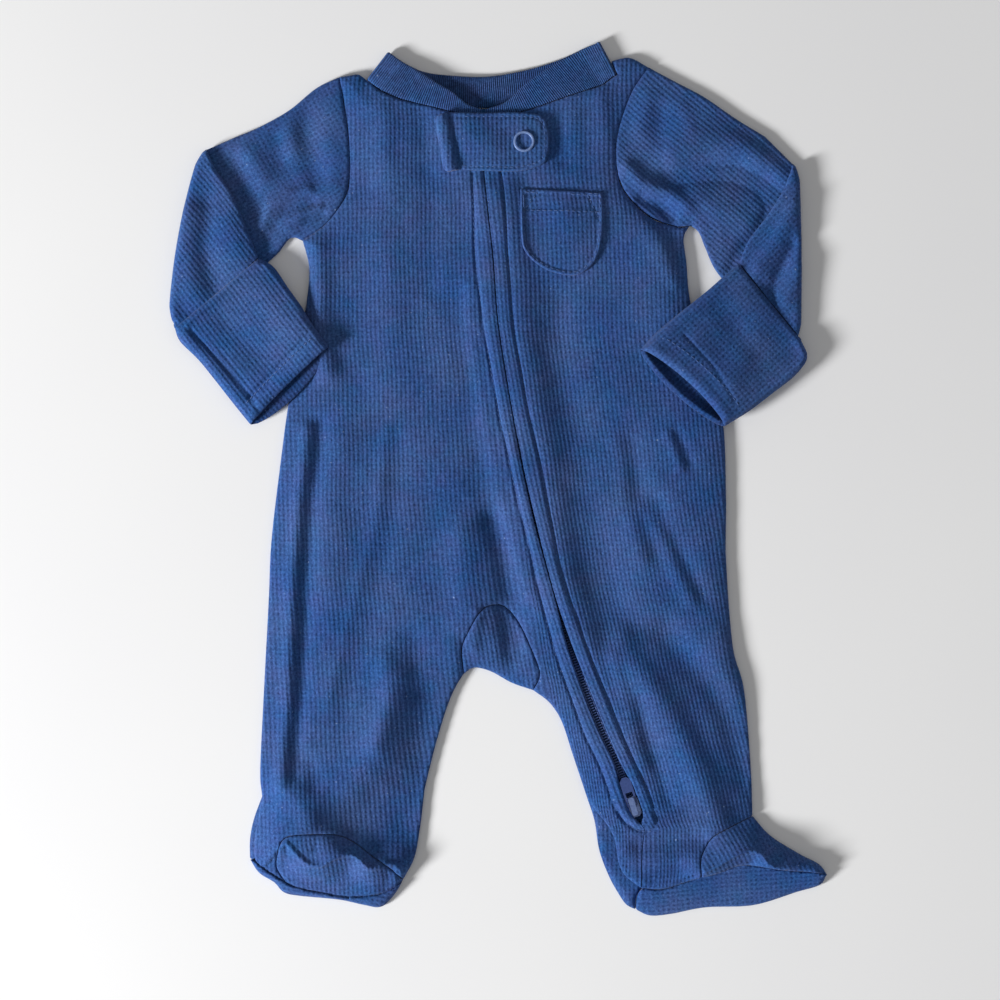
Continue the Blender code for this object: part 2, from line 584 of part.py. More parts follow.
def tube_rings(line, base, up, height, wall):
    """Outer and inner ring of a flat tube over one plan line."""
    width = np.linalg.norm(np.diff(line, axis=0), axis=1).sum()
    return [section(line, base, up, stadium(width, height, depth), width) for depth in (0.0, wall)]


def arm_lift(ring, line):
    """Soft rise of the upper layer of an upper arm, none at its two sides."""
    over = ring[:, 2] > SLEEVE_HEIGHT / 2
    side = np.minimum(np.linalg.norm(ring[:, :2] - line[0], axis=1),
                      np.linalg.norm(ring[:, :2] - line[-1], axis=1))
    soft = (ARM_LIFT + fold_height(ring[:, :2], ARM_FOLDS)) * (1 - np.exp(-(side / ARM_SIDE) ** 2))
    return over * np.maximum(soft, 0.0)


def armhole_line(row, armhole):
    """Section line of the upper arm, drawn towards the armhole's curve by the row's share."""
    a, b, share = row[:2], row[2:4], row[4]
    s = np.linspace(0, 1, LINE_POINTS)
    curve = across(smooth(armhole, FINE_STEP), s)
    chord = curve[0] + (curve[-1] - curve[0]) * s[:, None]
    return a + (b - a) * s[:, None] + share * (curve - chord)


def sleeve(name, arm_rows, armhole, elbow, fore_rows, out_side):
    """Flat sleeve: the upper arm lies below, folds over at the elbow, and the forearm comes back."""
    over = SLEEVE_HEIGHT + TUCK
    outer, inner = [], []

    def add(line, base, up, lift=0.0):
        for rings, ring in zip((outer, inner), tube_rings(line, base, up, SLEEVE_HEIGHT, WALL)):
            ring[:, 2] += lift * arm_lift(ring, line)
            rings.append(ring)

    for k, row in enumerate(smooth(arm_rows, SLEEVE_STEP)):
        line = armhole_line(row, armhole)
        if k == 0:
            way = np.gradient(line, axis=0)
            aside = out_side * np.stack((-way[:, 1], way[:, 0]), 1)
            line += SEAM * 0.7 * aside / np.linalg.norm(way, axis=1)[:, None]
        add(line, 0.0, (0, 0, 1), row[5])
    fold = straight_line(elbow[:2], elbow[2:4], elbow[4])
    along = np.array(elbow[2:4]) - np.array(elbow[:2])
    out = out_side * np.array((-along[1], along[0])) / np.linalg.norm(along)
    pivot = over - TUCK / 2
    for turn in range(5):
        angle = math.pi * turn / 4
        up = np.array((-math.sin(angle) * out[0], -math.sin(angle) * out[1], math.cos(angle)))
        shift = -up * pivot
        add(fold + shift[:2], pivot + shift[2], up)
    for ax, ay, bx, by in smooth(fore_rows, SLEEVE_STEP):
        add(straight_line((ax, ay), (bx, by)), over + SLEEVE_HEIGHT, (0, 0, -1))
    return tube(name, outer, inner)


def cuff(name, rows):
    """Mitten cuff: a flat tube of doubled cloth, its lower layer reaching past the upper one."""
    outer, inner = [], []
    rows = smooth(rows, CUFF_STEP)
    ways = np.diff(rows[:, :2] + rows[:, 2:4], axis=0)
    way = ways[-1] / np.linalg.norm(ways[-1])
    for ax, ay, bx, by, low_a, low_b, height, recess, lip in rows:
        line = straight_line((ax, ay), (bx, by))
        width = np.linalg.norm((bx - ax, by - ay))

        def base(share, low_a=low_a, low_b=low_b):
            return low_a + (low_b - low_a) * share

        for rings, depth in ((outer, 0.0), (inner, CUFF_WALL)):
            profile = stadium(width, height, depth)
            ring = section(line, base, (0, 0, 1), profile, width)
            swell = np.sin(math.pi * np.clip(profile[:, 0] / width, 0, 1)) ** 0.6
            reach = np.where(profile[:, 1] > height / 2, -recess, lip) * swell
            reach[np.abs(profile[:, 1] - height / 2) < 0.2] *= 0.5
            ring[:, :2] += way * reach[:, None]
            rings.append(ring)
    return tube(name, outer, inner)


def band_profile(width):
    """Rounded strip across the neckband."""
    t, r = BAND_THICK, BAND_ROUND
    near, far = SEAM / 2, width
    return np.array(((near, r), (near + r, 0), ((near + far) / 2, 0), (far - r, 0), (far, r),
                     (far, t - r), (far - r, t), ((near + far) / 2, t), (near + r, t),
                     (near, t - r)))


def neckband():
    """Rib band: from the zip over the front to a shoulder fold, round the back, and again."""
    rings = []

    def add(lower, upper, base, up):
        width = np.linalg.norm(np.array(upper) - np.array(lower))
        line = straight_line(lower, upper)
        rings.append(section(line, base, up, band_profile(width), width))

    def turn_over(fold, out_side, angles):
        lower, upper = np.array(fold[:2]), np.array(fold[2:])
        along = (upper - lower) / np.linalg.norm(upper - lower)
        out = out_side * np.array((along[1], -along[0]))
        pivot = BAND_THICK + TUCK / 2
        for angle in angles:
            up = np.array((-math.sin(angle) * out[0], -math.sin(angle) * out[1], math.cos(angle)))
            shift = -up * pivot
            add(lower + shift[:2], upper + shift[:2], pivot + shift[2], up)

    half_turn = [math.pi * k / 4 for k in range(5)]
    for row in smooth(BAND_FRONT_R, BAND_STEP):
        add(row[:2], row[2:4], row[4] + BAND_THICK, (0, 0, -1))
    turn_over(BAND_FOLD_R, -1, half_turn[::-1])
    for row in smooth(BAND_BACK, BAND_STEP):
        add(row[:2], row[2:4], 0.0, (0, 0, 1))
    turn_over(BAND_FOLD_L, 1, half_turn)
    for row in smooth(BAND_FRONT_L, BAND_STEP):
        add(row[:2], row[2:4], row[4] + BAND_THICK, (0, 0, -1))
    return bar("neckband", rings, "rib")


def band_seam(rows, ends):
    """Lower edge of the neckband as an edge of the body, between its end points."""
    lower = [tuple(row[:2]) for row in rows]
    return tuple(ends[:1]) + tuple(lower) + tuple(ends[1:])


# ---- Body --------------------------------------------------------------------------------------
def back():
    """The whole back, from the neck seam to the heels."""
    neck = band_seam(flip(BAND_BACK), (BAND_FOLD_L[:2], BAND_FOLD_R[:2]))
    loop = chain(flip(neck), (BAND_FOLD_L[:2], NECK_END_L), (NECK_END_L, SHOULDER_L[0]), SHOULDER_L,
                 ARMHOLE_L, SIDE_L, flip(HEEL_L), flip(HEEL_EDGE_L), flip(INNER_L), flip(CROTCH),
                 flip(INNER_R), flip(FOOT_R_INNER)[:3], flip(HEEL_R), flip(FOOT_R_SIDE), flip(SIDE_R),
                 flip(ARMHOLE_R), flip(SHOULDER_R), (NECK_END_R, BAND_FOLD_R[:2]))
    return sheet("back", loop, flat(WALL), flat(0.0), step=UNDER_STEP, ring=False, drop=0.3)


def front_right():
    """Right chest and leg, with the strip that runs down the left leg beside the zip."""
    neck = band_seam(BAND_FRONT_R, (tuple(zip_edge(-1)[0]), BAND_FOLD_R[:2]))
    loop = chain(neck, (BAND_FOLD_R[:2], NECK_END_R), SHOULDER_R, ARMHOLE_R, SIDE_R, ANKLE_SEAM_R,
                 FRONT_SOLE_R, VAMP_SIDE_R, VAMP_ARC_R, FOOT_R_INNER, INNER_R, GUSSET_ARC, INNER_L,
                 ANKLE_SEAM_L, flip(SHIN_SEAM_L), zip_edge(-1)[::-1])
    lines = [welt_line(-1, 0.45), welt_line(-1, 1.0, 1.5), welt_line(-1, 1.0, -0.6)]
    return sheet("front_right", loop, front_top, inside, lines=lines, under_lines=lines[2:])


def front_left():
    """Left chest and the outer part of the left leg."""
    neck = band_seam(flip(BAND_FRONT_L), (tuple(zip_edge(1)[0]), BAND_FOLD_L[:2]))
    loop = chain(neck, (BAND_FOLD_L[:2], NECK_END_L), (NECK_END_L, SHOULDER_L[0]), SHOULDER_L,
                 ARMHOLE_L, SIDE_L, flip(VAMP_ARC_L), flip(FRONT_SOLE_L), flip(SHIN_SEAM_L),
                 zip_edge(1)[::-1])
    lines = [welt_line(1, 0.45), welt_line(1, 1.0, -1.5), welt_line(1, 1.0, 0.6)]
    return sheet("front_left", loop, front_top, inside, under_lines=lines[2:],
                 lines=lines + [pocket_loop(), pocket_field()])


def crotch_gusset():
    loop = chain(GUSSET_ARC, flip(CROTCH))
    return sheet("crotch_gusset", loop, front_top, inside, step=9.0)


# ---- Feet --------------------------------------------------------------------------------------
def vamp_right():
    """Top of the right foot, bunched into two waves below the ankle."""
    def top(points):
        wave = WAVE_HEIGHT * np.cos((points[:, 0] - WAVE_AT[0]) / WAVE_LONG * 2 * math.pi)
        ridge = np.exp(-((points[:, 1] - WAVE_AT[1]) / WAVE_HALF) ** 2)
        return inside(points) + WALL + np.maximum(WAVE_HEIGHT * 0.8 + wave * ridge, 0.0)

    loop = chain(VAMP_ARC_R, flip(VAMP_SOLE_R), VAMP_SIDE_R)
    return sheet("vamp_right", loop, top, inside, step=8.0)


def vamp_left():
    loop = chain(VAMP_SOLE_L, TOE_L_RIM, flip(VAMP_ARC_L))
    return sheet("vamp_left", loop, front_top, inside, step=9.0)


def sole(name, unders, rim, seam):
    """Foot sole: flat under the foot, and rolled up to the seam where it shows."""
    seam_line, heel = smooth(seam, FINE_STEP), smooth(unders[0], FINE_STEP)
    rolled = chain(seam, flip(rim), step=FINE_STEP)

    def top(points):
        lifted = within(points, rolled) & (distance_to(points, seam_line) > SEAM)
        lifted &= distance_to(points, heel) > HEEL_CLEAR
        return np.where(lifted, SOLE_RIM, WALL)

    loop = chain(*unders, flip(rim))
    foot = inset(rolled, SEAM * 1.4)
    near = foot[distance_to(foot, seam_line) < SEAM * 2.0]
    low = inset(rolled, -SEAM)
    far = low[distance_to(low, seam_line) < SEAM * 1.5]
    return sheet(name, loop, top, flat(0.0), step=12.0, lines=(near, far), ring=False, drop=0.4)


# ---- Trim --------------------------------------------------------------------------------------
def pocket_loop():
    return chain(POCKET[:2], POCKET[1:] + POCKET[:1], step=6.0)


def pocket_field():
    return field(pocket_loop(), 11.0, 4.0)


def chest_pocket():
    """Patch pocket, its hem turned down twice along the top edge."""
    def low(points):
        return front_top(points) + POCKET_CLEAR

    def top(points):
        hem = np.clip((points[:, 1] - (POCKET[0][1] - POCKET_HEM)) / WELT_SLOPE, 0, 1)
        return low(points) + POCKET_THICK + HEM_RISE * hem

    return sheet("chest_pocket", pocket_loop(), top, low, step=11.0, under_step=11.0)


def neck_tab():
    """Doubled guard over the top of the zip, with the roll at its fixed end."""
    ax, ay, bx, by = TAB_ROLL
    spine = np.array(((ax, ay), (bx, by)))

    def top(points):
        away = distance_to(points, spine) / ROLL_HALF
        return TAB_LOW + TAB_THICK + ROLL_RISE * np.sqrt(np.clip(1 - away ** 2, 0, 1))

    loop = chain(TAB + TAB[:1], step=5.0)
    side = np.array((1.0, 0.2))
    lines = [np.linspace(spine[0], spine[1], 9) + side * k for k in (0.0, 2.2, 3.6)]
    ring = SNAP_OUTER + 1.0
    turn = np.linspace(0, 2 * math.pi, 13)[:-1]
    lines.append(np.array(SNAP_AT) + ring * np.stack((np.cos(turn), np.sin(turn)), 1))
    return sheet("neck_tab", loop, top, flat(TAB_LOW), step=9.0, under_step=14.0, lines=lines)


def snap_ring():
    """Ring of the snap, standing on the tab."""
    count, low = SNAP_SIDES, TAB_LOW + TAB_THICK + SNAP_CLEAR
    rim = SNAP_OUTER - SNAP_INNER
    profile = ((0.0, 0.0), (rim, 0.0), (rim, SNAP_RISE * 0.5), (rim * 0.7, SNAP_RISE),
               (rim * 0.3, SNAP_RISE), (0.0, SNAP_RISE * 0.5))
    verts = []
    for k in range(count):
        a = 2 * math.pi * k / count
        for out, up in profile:
            r = SNAP_INNER + out
            verts.append((SNAP_AT[0] + r * math.cos(a), SNAP_AT[1] + r * math.sin(a), low + up))
    n = len(profile)
    faces = [(k * n + i, k * n + (i + 1) % n, (k + 1) % count * n + (i + 1) % n,
              (k + 1) % count * n + i) for k in range(count) for i in range(n)]
    return make("snap_ring", verts, faces, "snap")


# ---- Zip ---------------------------------------------------------------------------------------
def strip(name, near, far, y_top, y_end, sink, thick, colour):
    """Band along the zip between two offsets from its centre, sunk below the panels."""
    rings = []
    for y in np.linspace(y_top, y_end, STRIP_ROWS):
        centre = zip_at(np.array((y,)))[0][0]
        x0, x1 = centre + near, centre + far
        z0, z1 = inside(np.array(((x0, y), (x1, y)))) - sink
        rings.append(np.array(((x0, y, z0), (x1, y, z1), (x1, y, z1 - thick),
                               (x0, y, z0 - thick))))
    return bar(name, rings, colour)


def zipper():
    """Two tapes and the coil between them; the coil ends at the slider's post."""
    sink = SEAM + 0.1
    ends = (ZIP_TOP - 1.0, ZIP_END + 3.0)
    strip("zip_tape_right", -TAPE_OUT, -TAPE_IN, *ends, sink, TAPE_THICK, "tape")
    strip("zip_tape_left", TAPE_IN, TAPE_OUT, *ends, sink, TAPE_THICK, "tape")
    strip("zip_coil", -COIL_HALF, COIL_HALF, ZIP_TOP - 1.0, post_top(), sink, COIL_THICK, "coil")


def slider_frame(along, wide):
    """Plan point at a distance along the slider, towards the ankle, and across it."""
    c, s = math.cos(SLIDER_TURN), math.sin(SLIDER_TURN)
    return (SLIDER_AT[0] + along * s + wide * c, SLIDER_AT[1] - along * c + wide * s)


def post_top():
    """Where the coil stops, just before the slider's post."""
    return slider_frame(SLIDER_LONG - SLIDER_BACK - POST_LONG - 2 * POST_IN, 0.0)[1]


def slider_level():
    """Underside of the slider's top plate."""
    return float(inside(np.array((SLIDER_AT,)))[0]) + SLIDER_CLEAR


def block(name, along0, along1, wide, low, high, colour="hardware", corner=0.0):
    """Box on the slider's axis, with its upright corners cut if asked."""
    half, c = wide / 2, corner
    plan = [(along0 + c, -half), (along1 - c, -half), (along1, -half + c), (along1, half - c),
            (along1 - c, half), (along0 + c, half), (along0, half - c), (along0, -half + c)]
    if not c:
        plan = [(along0, -half), (along1, -half), (along1, half), (along0, half)]
    rings = [np.array([(*slider_frame(a, w), z) for a, w in plan]) for z in (low, high)]
    return bar(name, rings, colour)


def unite(target, others):
    """Join overlapping solids into one."""
    for other in others:
        cut = target.modifiers.new("join", 'BOOLEAN')
        cut.operation = 'UNION'
        cut.object = other
        other.hide_render = True
        other.display_type = 'WIRE'
    return target


def slider():
    """Top plate, crown, post and bottom plate in one piece."""
    low = slider_level()
    start, end = -SLIDER_BACK, SLIDER_LONG - SLIDER_BACK
    top = low + PLATE
    body = block("slider", start, end, SLIDER_WIDE, low, top, corner=1.6)
    c0, c1 = CROWN_AT - CROWN_LONG / 2, CROWN_AT + CROWN_LONG / 2
    roof = top + CROWN_CLEAR
    feet = [block("crown_foot_%d" % k, a, a + FOOT_LONG, CROWN_WIDE - 0.4, top - BITE, roof + 0.2)
            for k, a in enumerate((c0 + 0.1, c1 - 0.1 - FOOT_LONG))]
    arch = block("crown_arch", c0, c1, CROWN_WIDE, roof, roof + CROWN_THICK, corner=0.6)
    bottom_high = low - COIL_THICK - 3 * SEAM
    post = block("post", end - POST_LONG - POST_IN, end - POST_IN, POST_WIDE, bottom_high - BITE,
                 low + BITE)
    bottom = block("bottom_plate", start + 0.8, end - 0.3, SLIDER_WIDE - 0.6,
                   bottom_high - BOTTOM_PLATE, bottom_high, corner=1.4)
    return unite(body, feet + [arch, post, bottom])


def pull_tab():
    """Flat pull with a slot for the crown, pivoting on the bar at its lower end."""
    level = slider_level() + PLATE + SEAM + PULL_BAR / 2
    pivot = (*slider_frame(BAR_AT, 0.0), level)
    low, high = level - PULL_THICK / 2, level + PULL_THICK / 2
    tip = BAR_AT + PULL_BAR / 2
    body = block("pull_tab", tip - PULL_LONG, tip, PULL_WIDE, low, high, corner=1.9)
    slot = block("pull_slot", tip - PULL_BAR - PULL_SLOT_LONG, tip - PULL_BAR, PULL_SLOT_WIDE,
                 low - 1.0, high + 1.0, corner=SEAM)
    cut = body.modifiers.new("slot", 'BOOLEAN')
    cut.operation = 'DIFFERENCE'
    cut.object = slot
    slot.hide_render = True
    slot.display_type = 'WIRE'
    origin = (Vector(pivot) - Vector((*CENTRE, 0.0))) * MM
    body.data.transform(Matrix.Translation(-origin))
    body.location = origin
    return body


def main():
    for obj in list(bpy.data.objects):
        bpy.data.objects.remove(obj, do_unlink=True)
    back()
    front_right()
    front_left()
    crotch_gusset()
    sleeve("sleeve_right", UPPER_ARM_R, ARMHOLE_R, ELBOW_R, FOREARM_R, -1)
    sleeve("sleeve_left", UPPER_ARM_L, ARMHOLE_L, ELBOW_L, FOREARM_L, 1)
    cuff("cuff_right", CUFF_R)
    cuff("cuff_left", CUFF_L)
    neckband()
    neck_tab()
    snap_ring()
    chest_pocket()
    vamp_right()
    vamp_left()
    sole("sole_right", (HEEL_R,), FOOT_R_TOE, FRONT_SOLE_R + VAMP_SOLE_R[1:])
    sole("sole_left", (HEEL_L, flip(TOE_L_RIM)), FOOT_L_RIM, FRONT_SOLE_L + VAMP_SOLE_L[1:])
    zipper()
    slider()
    pull_tab()


main()
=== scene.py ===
"""Dressed scene of the newborn sleeper: waffle-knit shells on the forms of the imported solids.

Lengths are in millimetres in the plan of the garment until a mesh is made; sides are the wearer's.
"""
import math

import bpy
import numpy as np
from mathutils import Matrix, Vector
from mathutils.geometry import delaunay_2d_cdt
from mathutils.kdtree import KDTree


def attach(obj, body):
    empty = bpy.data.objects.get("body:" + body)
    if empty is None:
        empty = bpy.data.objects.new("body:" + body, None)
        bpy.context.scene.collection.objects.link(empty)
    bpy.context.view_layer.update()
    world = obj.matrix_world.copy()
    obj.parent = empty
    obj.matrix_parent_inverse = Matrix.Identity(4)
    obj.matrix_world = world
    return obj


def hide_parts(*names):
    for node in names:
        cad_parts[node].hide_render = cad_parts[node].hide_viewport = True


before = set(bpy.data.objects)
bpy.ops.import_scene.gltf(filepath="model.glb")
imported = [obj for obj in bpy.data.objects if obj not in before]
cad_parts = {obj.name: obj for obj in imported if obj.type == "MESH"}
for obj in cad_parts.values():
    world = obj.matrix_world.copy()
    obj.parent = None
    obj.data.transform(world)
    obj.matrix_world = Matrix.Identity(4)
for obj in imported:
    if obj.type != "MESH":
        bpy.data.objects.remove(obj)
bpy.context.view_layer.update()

MM = 0.001
CENTRE = (1.1, -0.66)   # middle of the garment's outline, which the part is centred on

# ---- Driving sizes, mm -------------------------------------------------------------------------
WALL = 1.25             # one layer of waffle knit
SEAM = 0.3              # gap between two pieces at a seam
FRONT_LOW = 1.75        # underside of the front layer where it meets the back
PUFF = 2.4              # how far the front layer stands up inside the outline
PUFF_REACH = 10.0       # distance over which it rises
EASE = 0.8              # softness of the front layer above its underside
EASE_REACH = 6.0        # distance over which it sets in
WELT_RISE = 0.9         # turned edge beside the zip
WELT_SLOPE = 1.5        # width of its outer slope
WELT_FADE = 8.0         # distance over which it rises below the neck
FINE_STEP = 4.0         # spacing of points on a line that heights are measured from
SLEEVE_HEIGHT = 3.0     # two layers of a flat sleeve
ARM_UNDER = 0.45        # how far a sleeve reaches under the body's edge
CUFF_WALL = 1.9         # doubled cloth of a cuff
BAND_THICK = 1.9        # doubled rib of the neckband
TUCK = 0.5              # space inside a fold
LEAST_APART = 0.5       # nearest that two points of a surface lie
LINE_POINTS = 17        # points on the plan line of a section
SHARPEST = 0.5          # limit to how far a sharp corner moves in when an outline is inset
TINY = 1e-9             # keeps a division from ending in nothing

# ---- Outline of the body: x, y -----------------------------------------------------------------
NECK_END_R = (-68.5, 211.0)
NECK_END_L = (64.8, 213.6)
SHOULDER_R = (NECK_END_R, (-72.5, 214.0), (-77.0, 213.5), (-83.0, 212.5))
SHOULDER_L = ((61.1, 220.9), (67.0, 222.5), (72.5, 222.5), (81.5, 217.5))
ARMHOLE_R = ((-83.0, 212.5), (-81.5, 201.0), (-78.5, 180.0), (-78.0, 160.0), (-80.5, 148.5),
             (-89.5, 135.5), (-98.5, 128.5), (-102.5, 126.0))
ARMHOLE_L = ((81.5, 217.5), (72.5, 204.5), (65.5, 185.0), (64.0, 171.5), (67.5, 153.5),
             (81.5, 138.5), (96.5, 133.0), (103.0, 133.5))
SIDE_R = ((-102.5, 126.0), (-99.0, 111.0), (-100.5, 92.5), (-104.5, 67.5), (-110.0, 39.0),
          (-114.0, 9.5), (-119.0, -33.0), (-120.5, -65.0), (-123.0, -112.5), (-125.0, -155.0),
          (-124.0, -169.0))
SIDE_L = ((103.0, 133.5), (100.0, 127.0), (101.5, 114.0), (104.0, 91.5), (114.5, 62.5),
          (121.0, 28.5), (122.5, -12.0), (122.5, -43.5), (126.0, -89.0), (132.0, -112.5),
          (135.5, -152.5), (136.5, -179.5))
INNER_R = ((-37.5, -165.5), (-34.0, -151.0), (-31.0, -139.5), (-26.0, -123.0), (-21.5, -112.0),
           (-17.0, -104.5))
CROTCH = ((-17.0, -104.5), (-11.5, -101.0), (-2.5, -103.0), (8.5, -109.0), (20.0, -113.0))
INNER_L = ((20.0, -113.0), (28.5, -119.5), (35.0, -129.5), (41.0, -147.5), (48.5, -170.0))
GUSSET_ARC = ((-17.0, -104.5), (-18.0, -91.5), (-15.0, -83.0), (-8.0, -71.0), (-1.5, -67.5),
              (5.5, -69.0), (13.0, -78.0), (20.5, -94.5), (23.5, -104.5), (20.0, -113.0))

# ---- Feet: x, y --------------------------------------------------------------------------------
FOOT_R_SIDE = ((-124.0, -169.0), (-128.5, -181.5), (-130.5, -192.0), (-130.5, -202.5))
FOOT_R_TOE = ((-130.5, -202.5), (-125.5, -210.0), (-117.5, -215.0), (-112.5, -220.3),
              (-104.0, -222.2), (-83.0, -224.2), (-70.0, -227.0), (-60.5, -228.0),
              (-53.0, -220.7), (-49.0, -213.5))
FOOT_R_INNER = ((-49.0, -213.5), (-43.0, -202.0), (-40.0, -186.5), (-37.5, -165.5))
HEEL_R = ((-130.5, -202.5), (-103.5, -207.0), (-72.0, -205.0), (-43.0, -202.0))
ANKLE_SEAM_R = ((-124.0, -169.0), (-126.5, -183.5), (-128.5, -196.5), (-127.0, -204.0))
FRONT_SOLE_R = ((-127.0, -204.0), (-119.5, -210.0), (-111.5, -214.5))
VAMP_SIDE_R = ((-111.5, -214.5), (-116.0, -206.0), (-114.5, -196.0))
VAMP_ARC_R = ((-114.5, -196.0), (-112.0, -191.0), (-105.5, -188.5), (-85.5, -188.5),
              (-74.5, -193.0), (-65.5, -200.0), (-56.0, -206.5), (-49.0, -213.5))
VAMP_SOLE_R = ((-111.5, -214.5), (-105.0, -217.5), (-95.5, -219.5), (-82.0, -222.5),
               (-64.5, -221.5), (-54.0, -218.0), (-49.0, -213.5))
HEEL_EDGE_L = ((48.5, -170.0), (52.5, -182.5), (55.0, -198.0), (60.0, -211.5), (65.5, -221.5),
               (69.5, -227.0), (74.5, -229.5))
FOOT_L_RIM = ((74.5, -229.5), (82.0, -232.7), (93.5, -231.8), (111.5, -228.4), (137.0, -227.2),
              (160.0, -220.2), (172.5, -216.3), (175.8, -210.5))
TOE_L_RIM = ((175.8, -210.5), (172.0, -205.3), (161.0, -199.5), (146.0, -190.0), (136.5, -179.5))
HEEL_L = ((74.5, -229.5), (75.0, -222.5), (80.0, -216.5), (98.0, -209.5), (129.5, -190.0),
          (136.5, -179.5))
ANKLE_SEAM_L = ((48.5, -170.0), (54.5, -178.5), (59.0, -184.0), (63.0, -192.0), (65.0, -203.5),
                (68.5, -211.0), (77.0, -217.5))
FRONT_SOLE_L = ((77.0, -217.5), (89.5, -218.0), (109.0, -211.5))
VAMP_ARC_L = ((109.0, -211.5), (108.5, -202.5), (111.5, -195.5), (115.5, -190.0),
              (122.5, -186.0), (136.5, -179.5))
VAMP_SOLE_L = ((109.0, -211.5), (119.0, -209.0), (128.5, -205.5), (141.0, -206.0),
               (156.0, -208.0), (167.5, -209.0), (175.8, -210.5))
SHIN_SEAM_L = ((79.0, -186.0), (77.5, -201.5), (77.0, -217.5))

# ---- Zip, from the neck to the ankle: y, centre x, welt width right, left ----------------------
ZIP_ROWS = (
    (190.5, -6.5, 6.0, 9.0), (160.5, -6.0, 6.5, 9.0), (118.0, -1.5, 9.0, 8.0),
    (80.5, 1.5, 7.5, 8.3), (36.5, 8.5, 7.5, 8.2), (-4.5, 16.5, 6.5, 9.2),
    (-43.5, 26.0, 6.5, 7.7), (-82.0, 37.0, 8.5, 8.3), (-106.5, 45.5, 9.5, 9.4),
    (-133.0, 56.0, 10.0, 10.0), (-151.0, 64.3, 9.5, 10.0), (-163.0, 68.8, 9.5, 10.5),
    (-175.0, 73.2, 9.5, 10.5), (-183.0, 76.8, 8.0, 8.5), (-186.0, 79.0, 6.0, 6.0))
ZIP_GAPS = (                                        # half the opening between the edges, by y
    (-186.0, 0.0), (-183.0, 0.2), (-181.0, 2.2), (-178.0, 3.7), (-163.0, 4.0), (-156.0, 2.3),
    (-150.0, 1.5), (-139.0, 2.0), (-118.0, 2.1), (-99.0, 1.6), (-82.0, 0.9), (-70.0, 0.35),
    (-60.0, 0.1), (-43.5, 0.15), (-25.0, 0.45), (-4.5, 0.3), (36.0, 0.05), (190.0, 0.05))
ZIP_FOOT = (                                        # the turned edges meet below the slider
    (65.0, -177.0), (69.5, -182.5), (73.5, -186.0), (77.0, -187.0), (81.5, -187.5),
    (84.5, -185.5))
ZIP_TOP = 188.0
ZIP_END = -186.0
WELT_TOP = 160.0
TAPE_OUT = 7.0
TAPE_IN = 2.4
TAPE_THICK = 0.6
COIL_HALF = 2.1
COIL_THICK = 1.0
ZIP_SINK = SEAM + 0.1   # the tapes and the coil lie this far below the front's underside
ZIP_POINTS = 125        # points on each panel's edge beside the zip
SEWN_POINTS = 170       # and on the stitching line of each turned edge
GRAIN_FROM = 60.0       # height on the chest where the columns of the knit are set out
GRAIN_REACH = 50.0      # distance from the zip over which they stop following it
GRAIN_ROUNDS = 30       # rounds in which a point's column is found

# ---- Sleeves: ax, ay on the upper side, bx, by on the under side, share of the armhole's curve -
UPPER_ARM_R = ((-83.0, 212.5, -102.5, 126.0, 1.0), (-95.0, 206.8, -109.0, 127.0, 0.5),
               (-109.5, 195.0, -116.5, 118.0, 0.2), (-125.5, 186.0, -130.0, 107.5, 0.0),
               (-139.0, 180.3, -148.5, 97.5, 0.0))
ELBOW_R = (-153.3, 174.0, -170.3, 81.5, -3.2)       # ax, ay, bx, by of the fold, bow outward
FOREARM_R = ((-148.5, 163.5, -170.5, 80.5), (-142.0, 154.0, -170.2, 79.5),
             (-136.5, 144.0, -169.6, 78.6), (-131.5, 131.0, -168.8, 78.0),
             (-125.5, 116.5, -167.9, 77.4))
UPPER_ARM_L = ((81.5, 217.5, 103.5, 134.0, 1.0), (95.0, 210.3, 108.0, 130.0, 0.45),
               (111.0, 201.8, 111.5, 121.5, 0.2), (127.0, 190.8, 117.5, 109.0, 0.0),
               (143.0, 181.0, 132.0, 92.5, 0.0))
ELBOW_L = (157.8, 166.3, 158.7, 72.5, 0.8)
FOREARM_L = ((153.0, 153.0, 158.9, 72.3), (147.5, 144.0, 159.2, 72.0),
             (142.0, 136.0, 160.0, 71.5), (134.0, 125.5, 160.8, 71.0),
             (129.0, 113.6, 162.0, 73.0))
ARM_LIFT = 0.5          # softness of an upper arm above its flat height
LEANS_R = (-59.3, 38.5) # lean of the knit's columns in degrees: upper arm, forearm and cuff
LEANS_L = (49.4, -48.5)
# Cuffs: ax, ay, bx, by, underside at a and at b, height, back the mouth's front draws, lip below
CUFF_R = ((-125.2, 116.1, -169.8, 79.0, 3.4, 3.2, 4.5, 0.0, 0.0),
          (-117.5, 111.5, -167.0, 72.0, 3.5, 2.9, 4.8, 0.0, 0.0),
          (-109.5, 100.0, -157.5, 62.5, 4.0, 2.4, 5.2, 0.0, 0.0),
          (-103.0, 91.0, -148.5, 51.5, 4.7, 2.1, 5.5, 0.0, 0.0),
          (-96.5, 80.5, -139.5, 40.0, 5.7, 2.0, 5.8, 0.0, 0.0),
          (-88.0, 69.0, -129.8, 28.0, 6.4, 2.0, 6.2, 1.0, 6.0))
CUFF_L = ((128.6, 113.2, 161.8, 72.6, 3.4, 3.4, 4.5, 0.0, 0.0),
          (123.0, 108.5, 165.0, 63.5, 3.8, 3.8, 4.8, 0.0, 0.0),
          (112.0, 98.7, 158.5, 54.0, 4.6, 4.3, 5.2, 0.0, 0.0),
          (98.0, 87.5, 146.5, 44.5, 5.6, 4.7, 5.5, 0.0, 0.0),
          (86.0, 77.5, 134.0, 35.0, 6.2, 4.9, 5.8, 0.0, 0.0),
          (76.5, 67.5, 121.0, 27.0, 6.5, 5.0, 6.2, 4.2, 4.8))

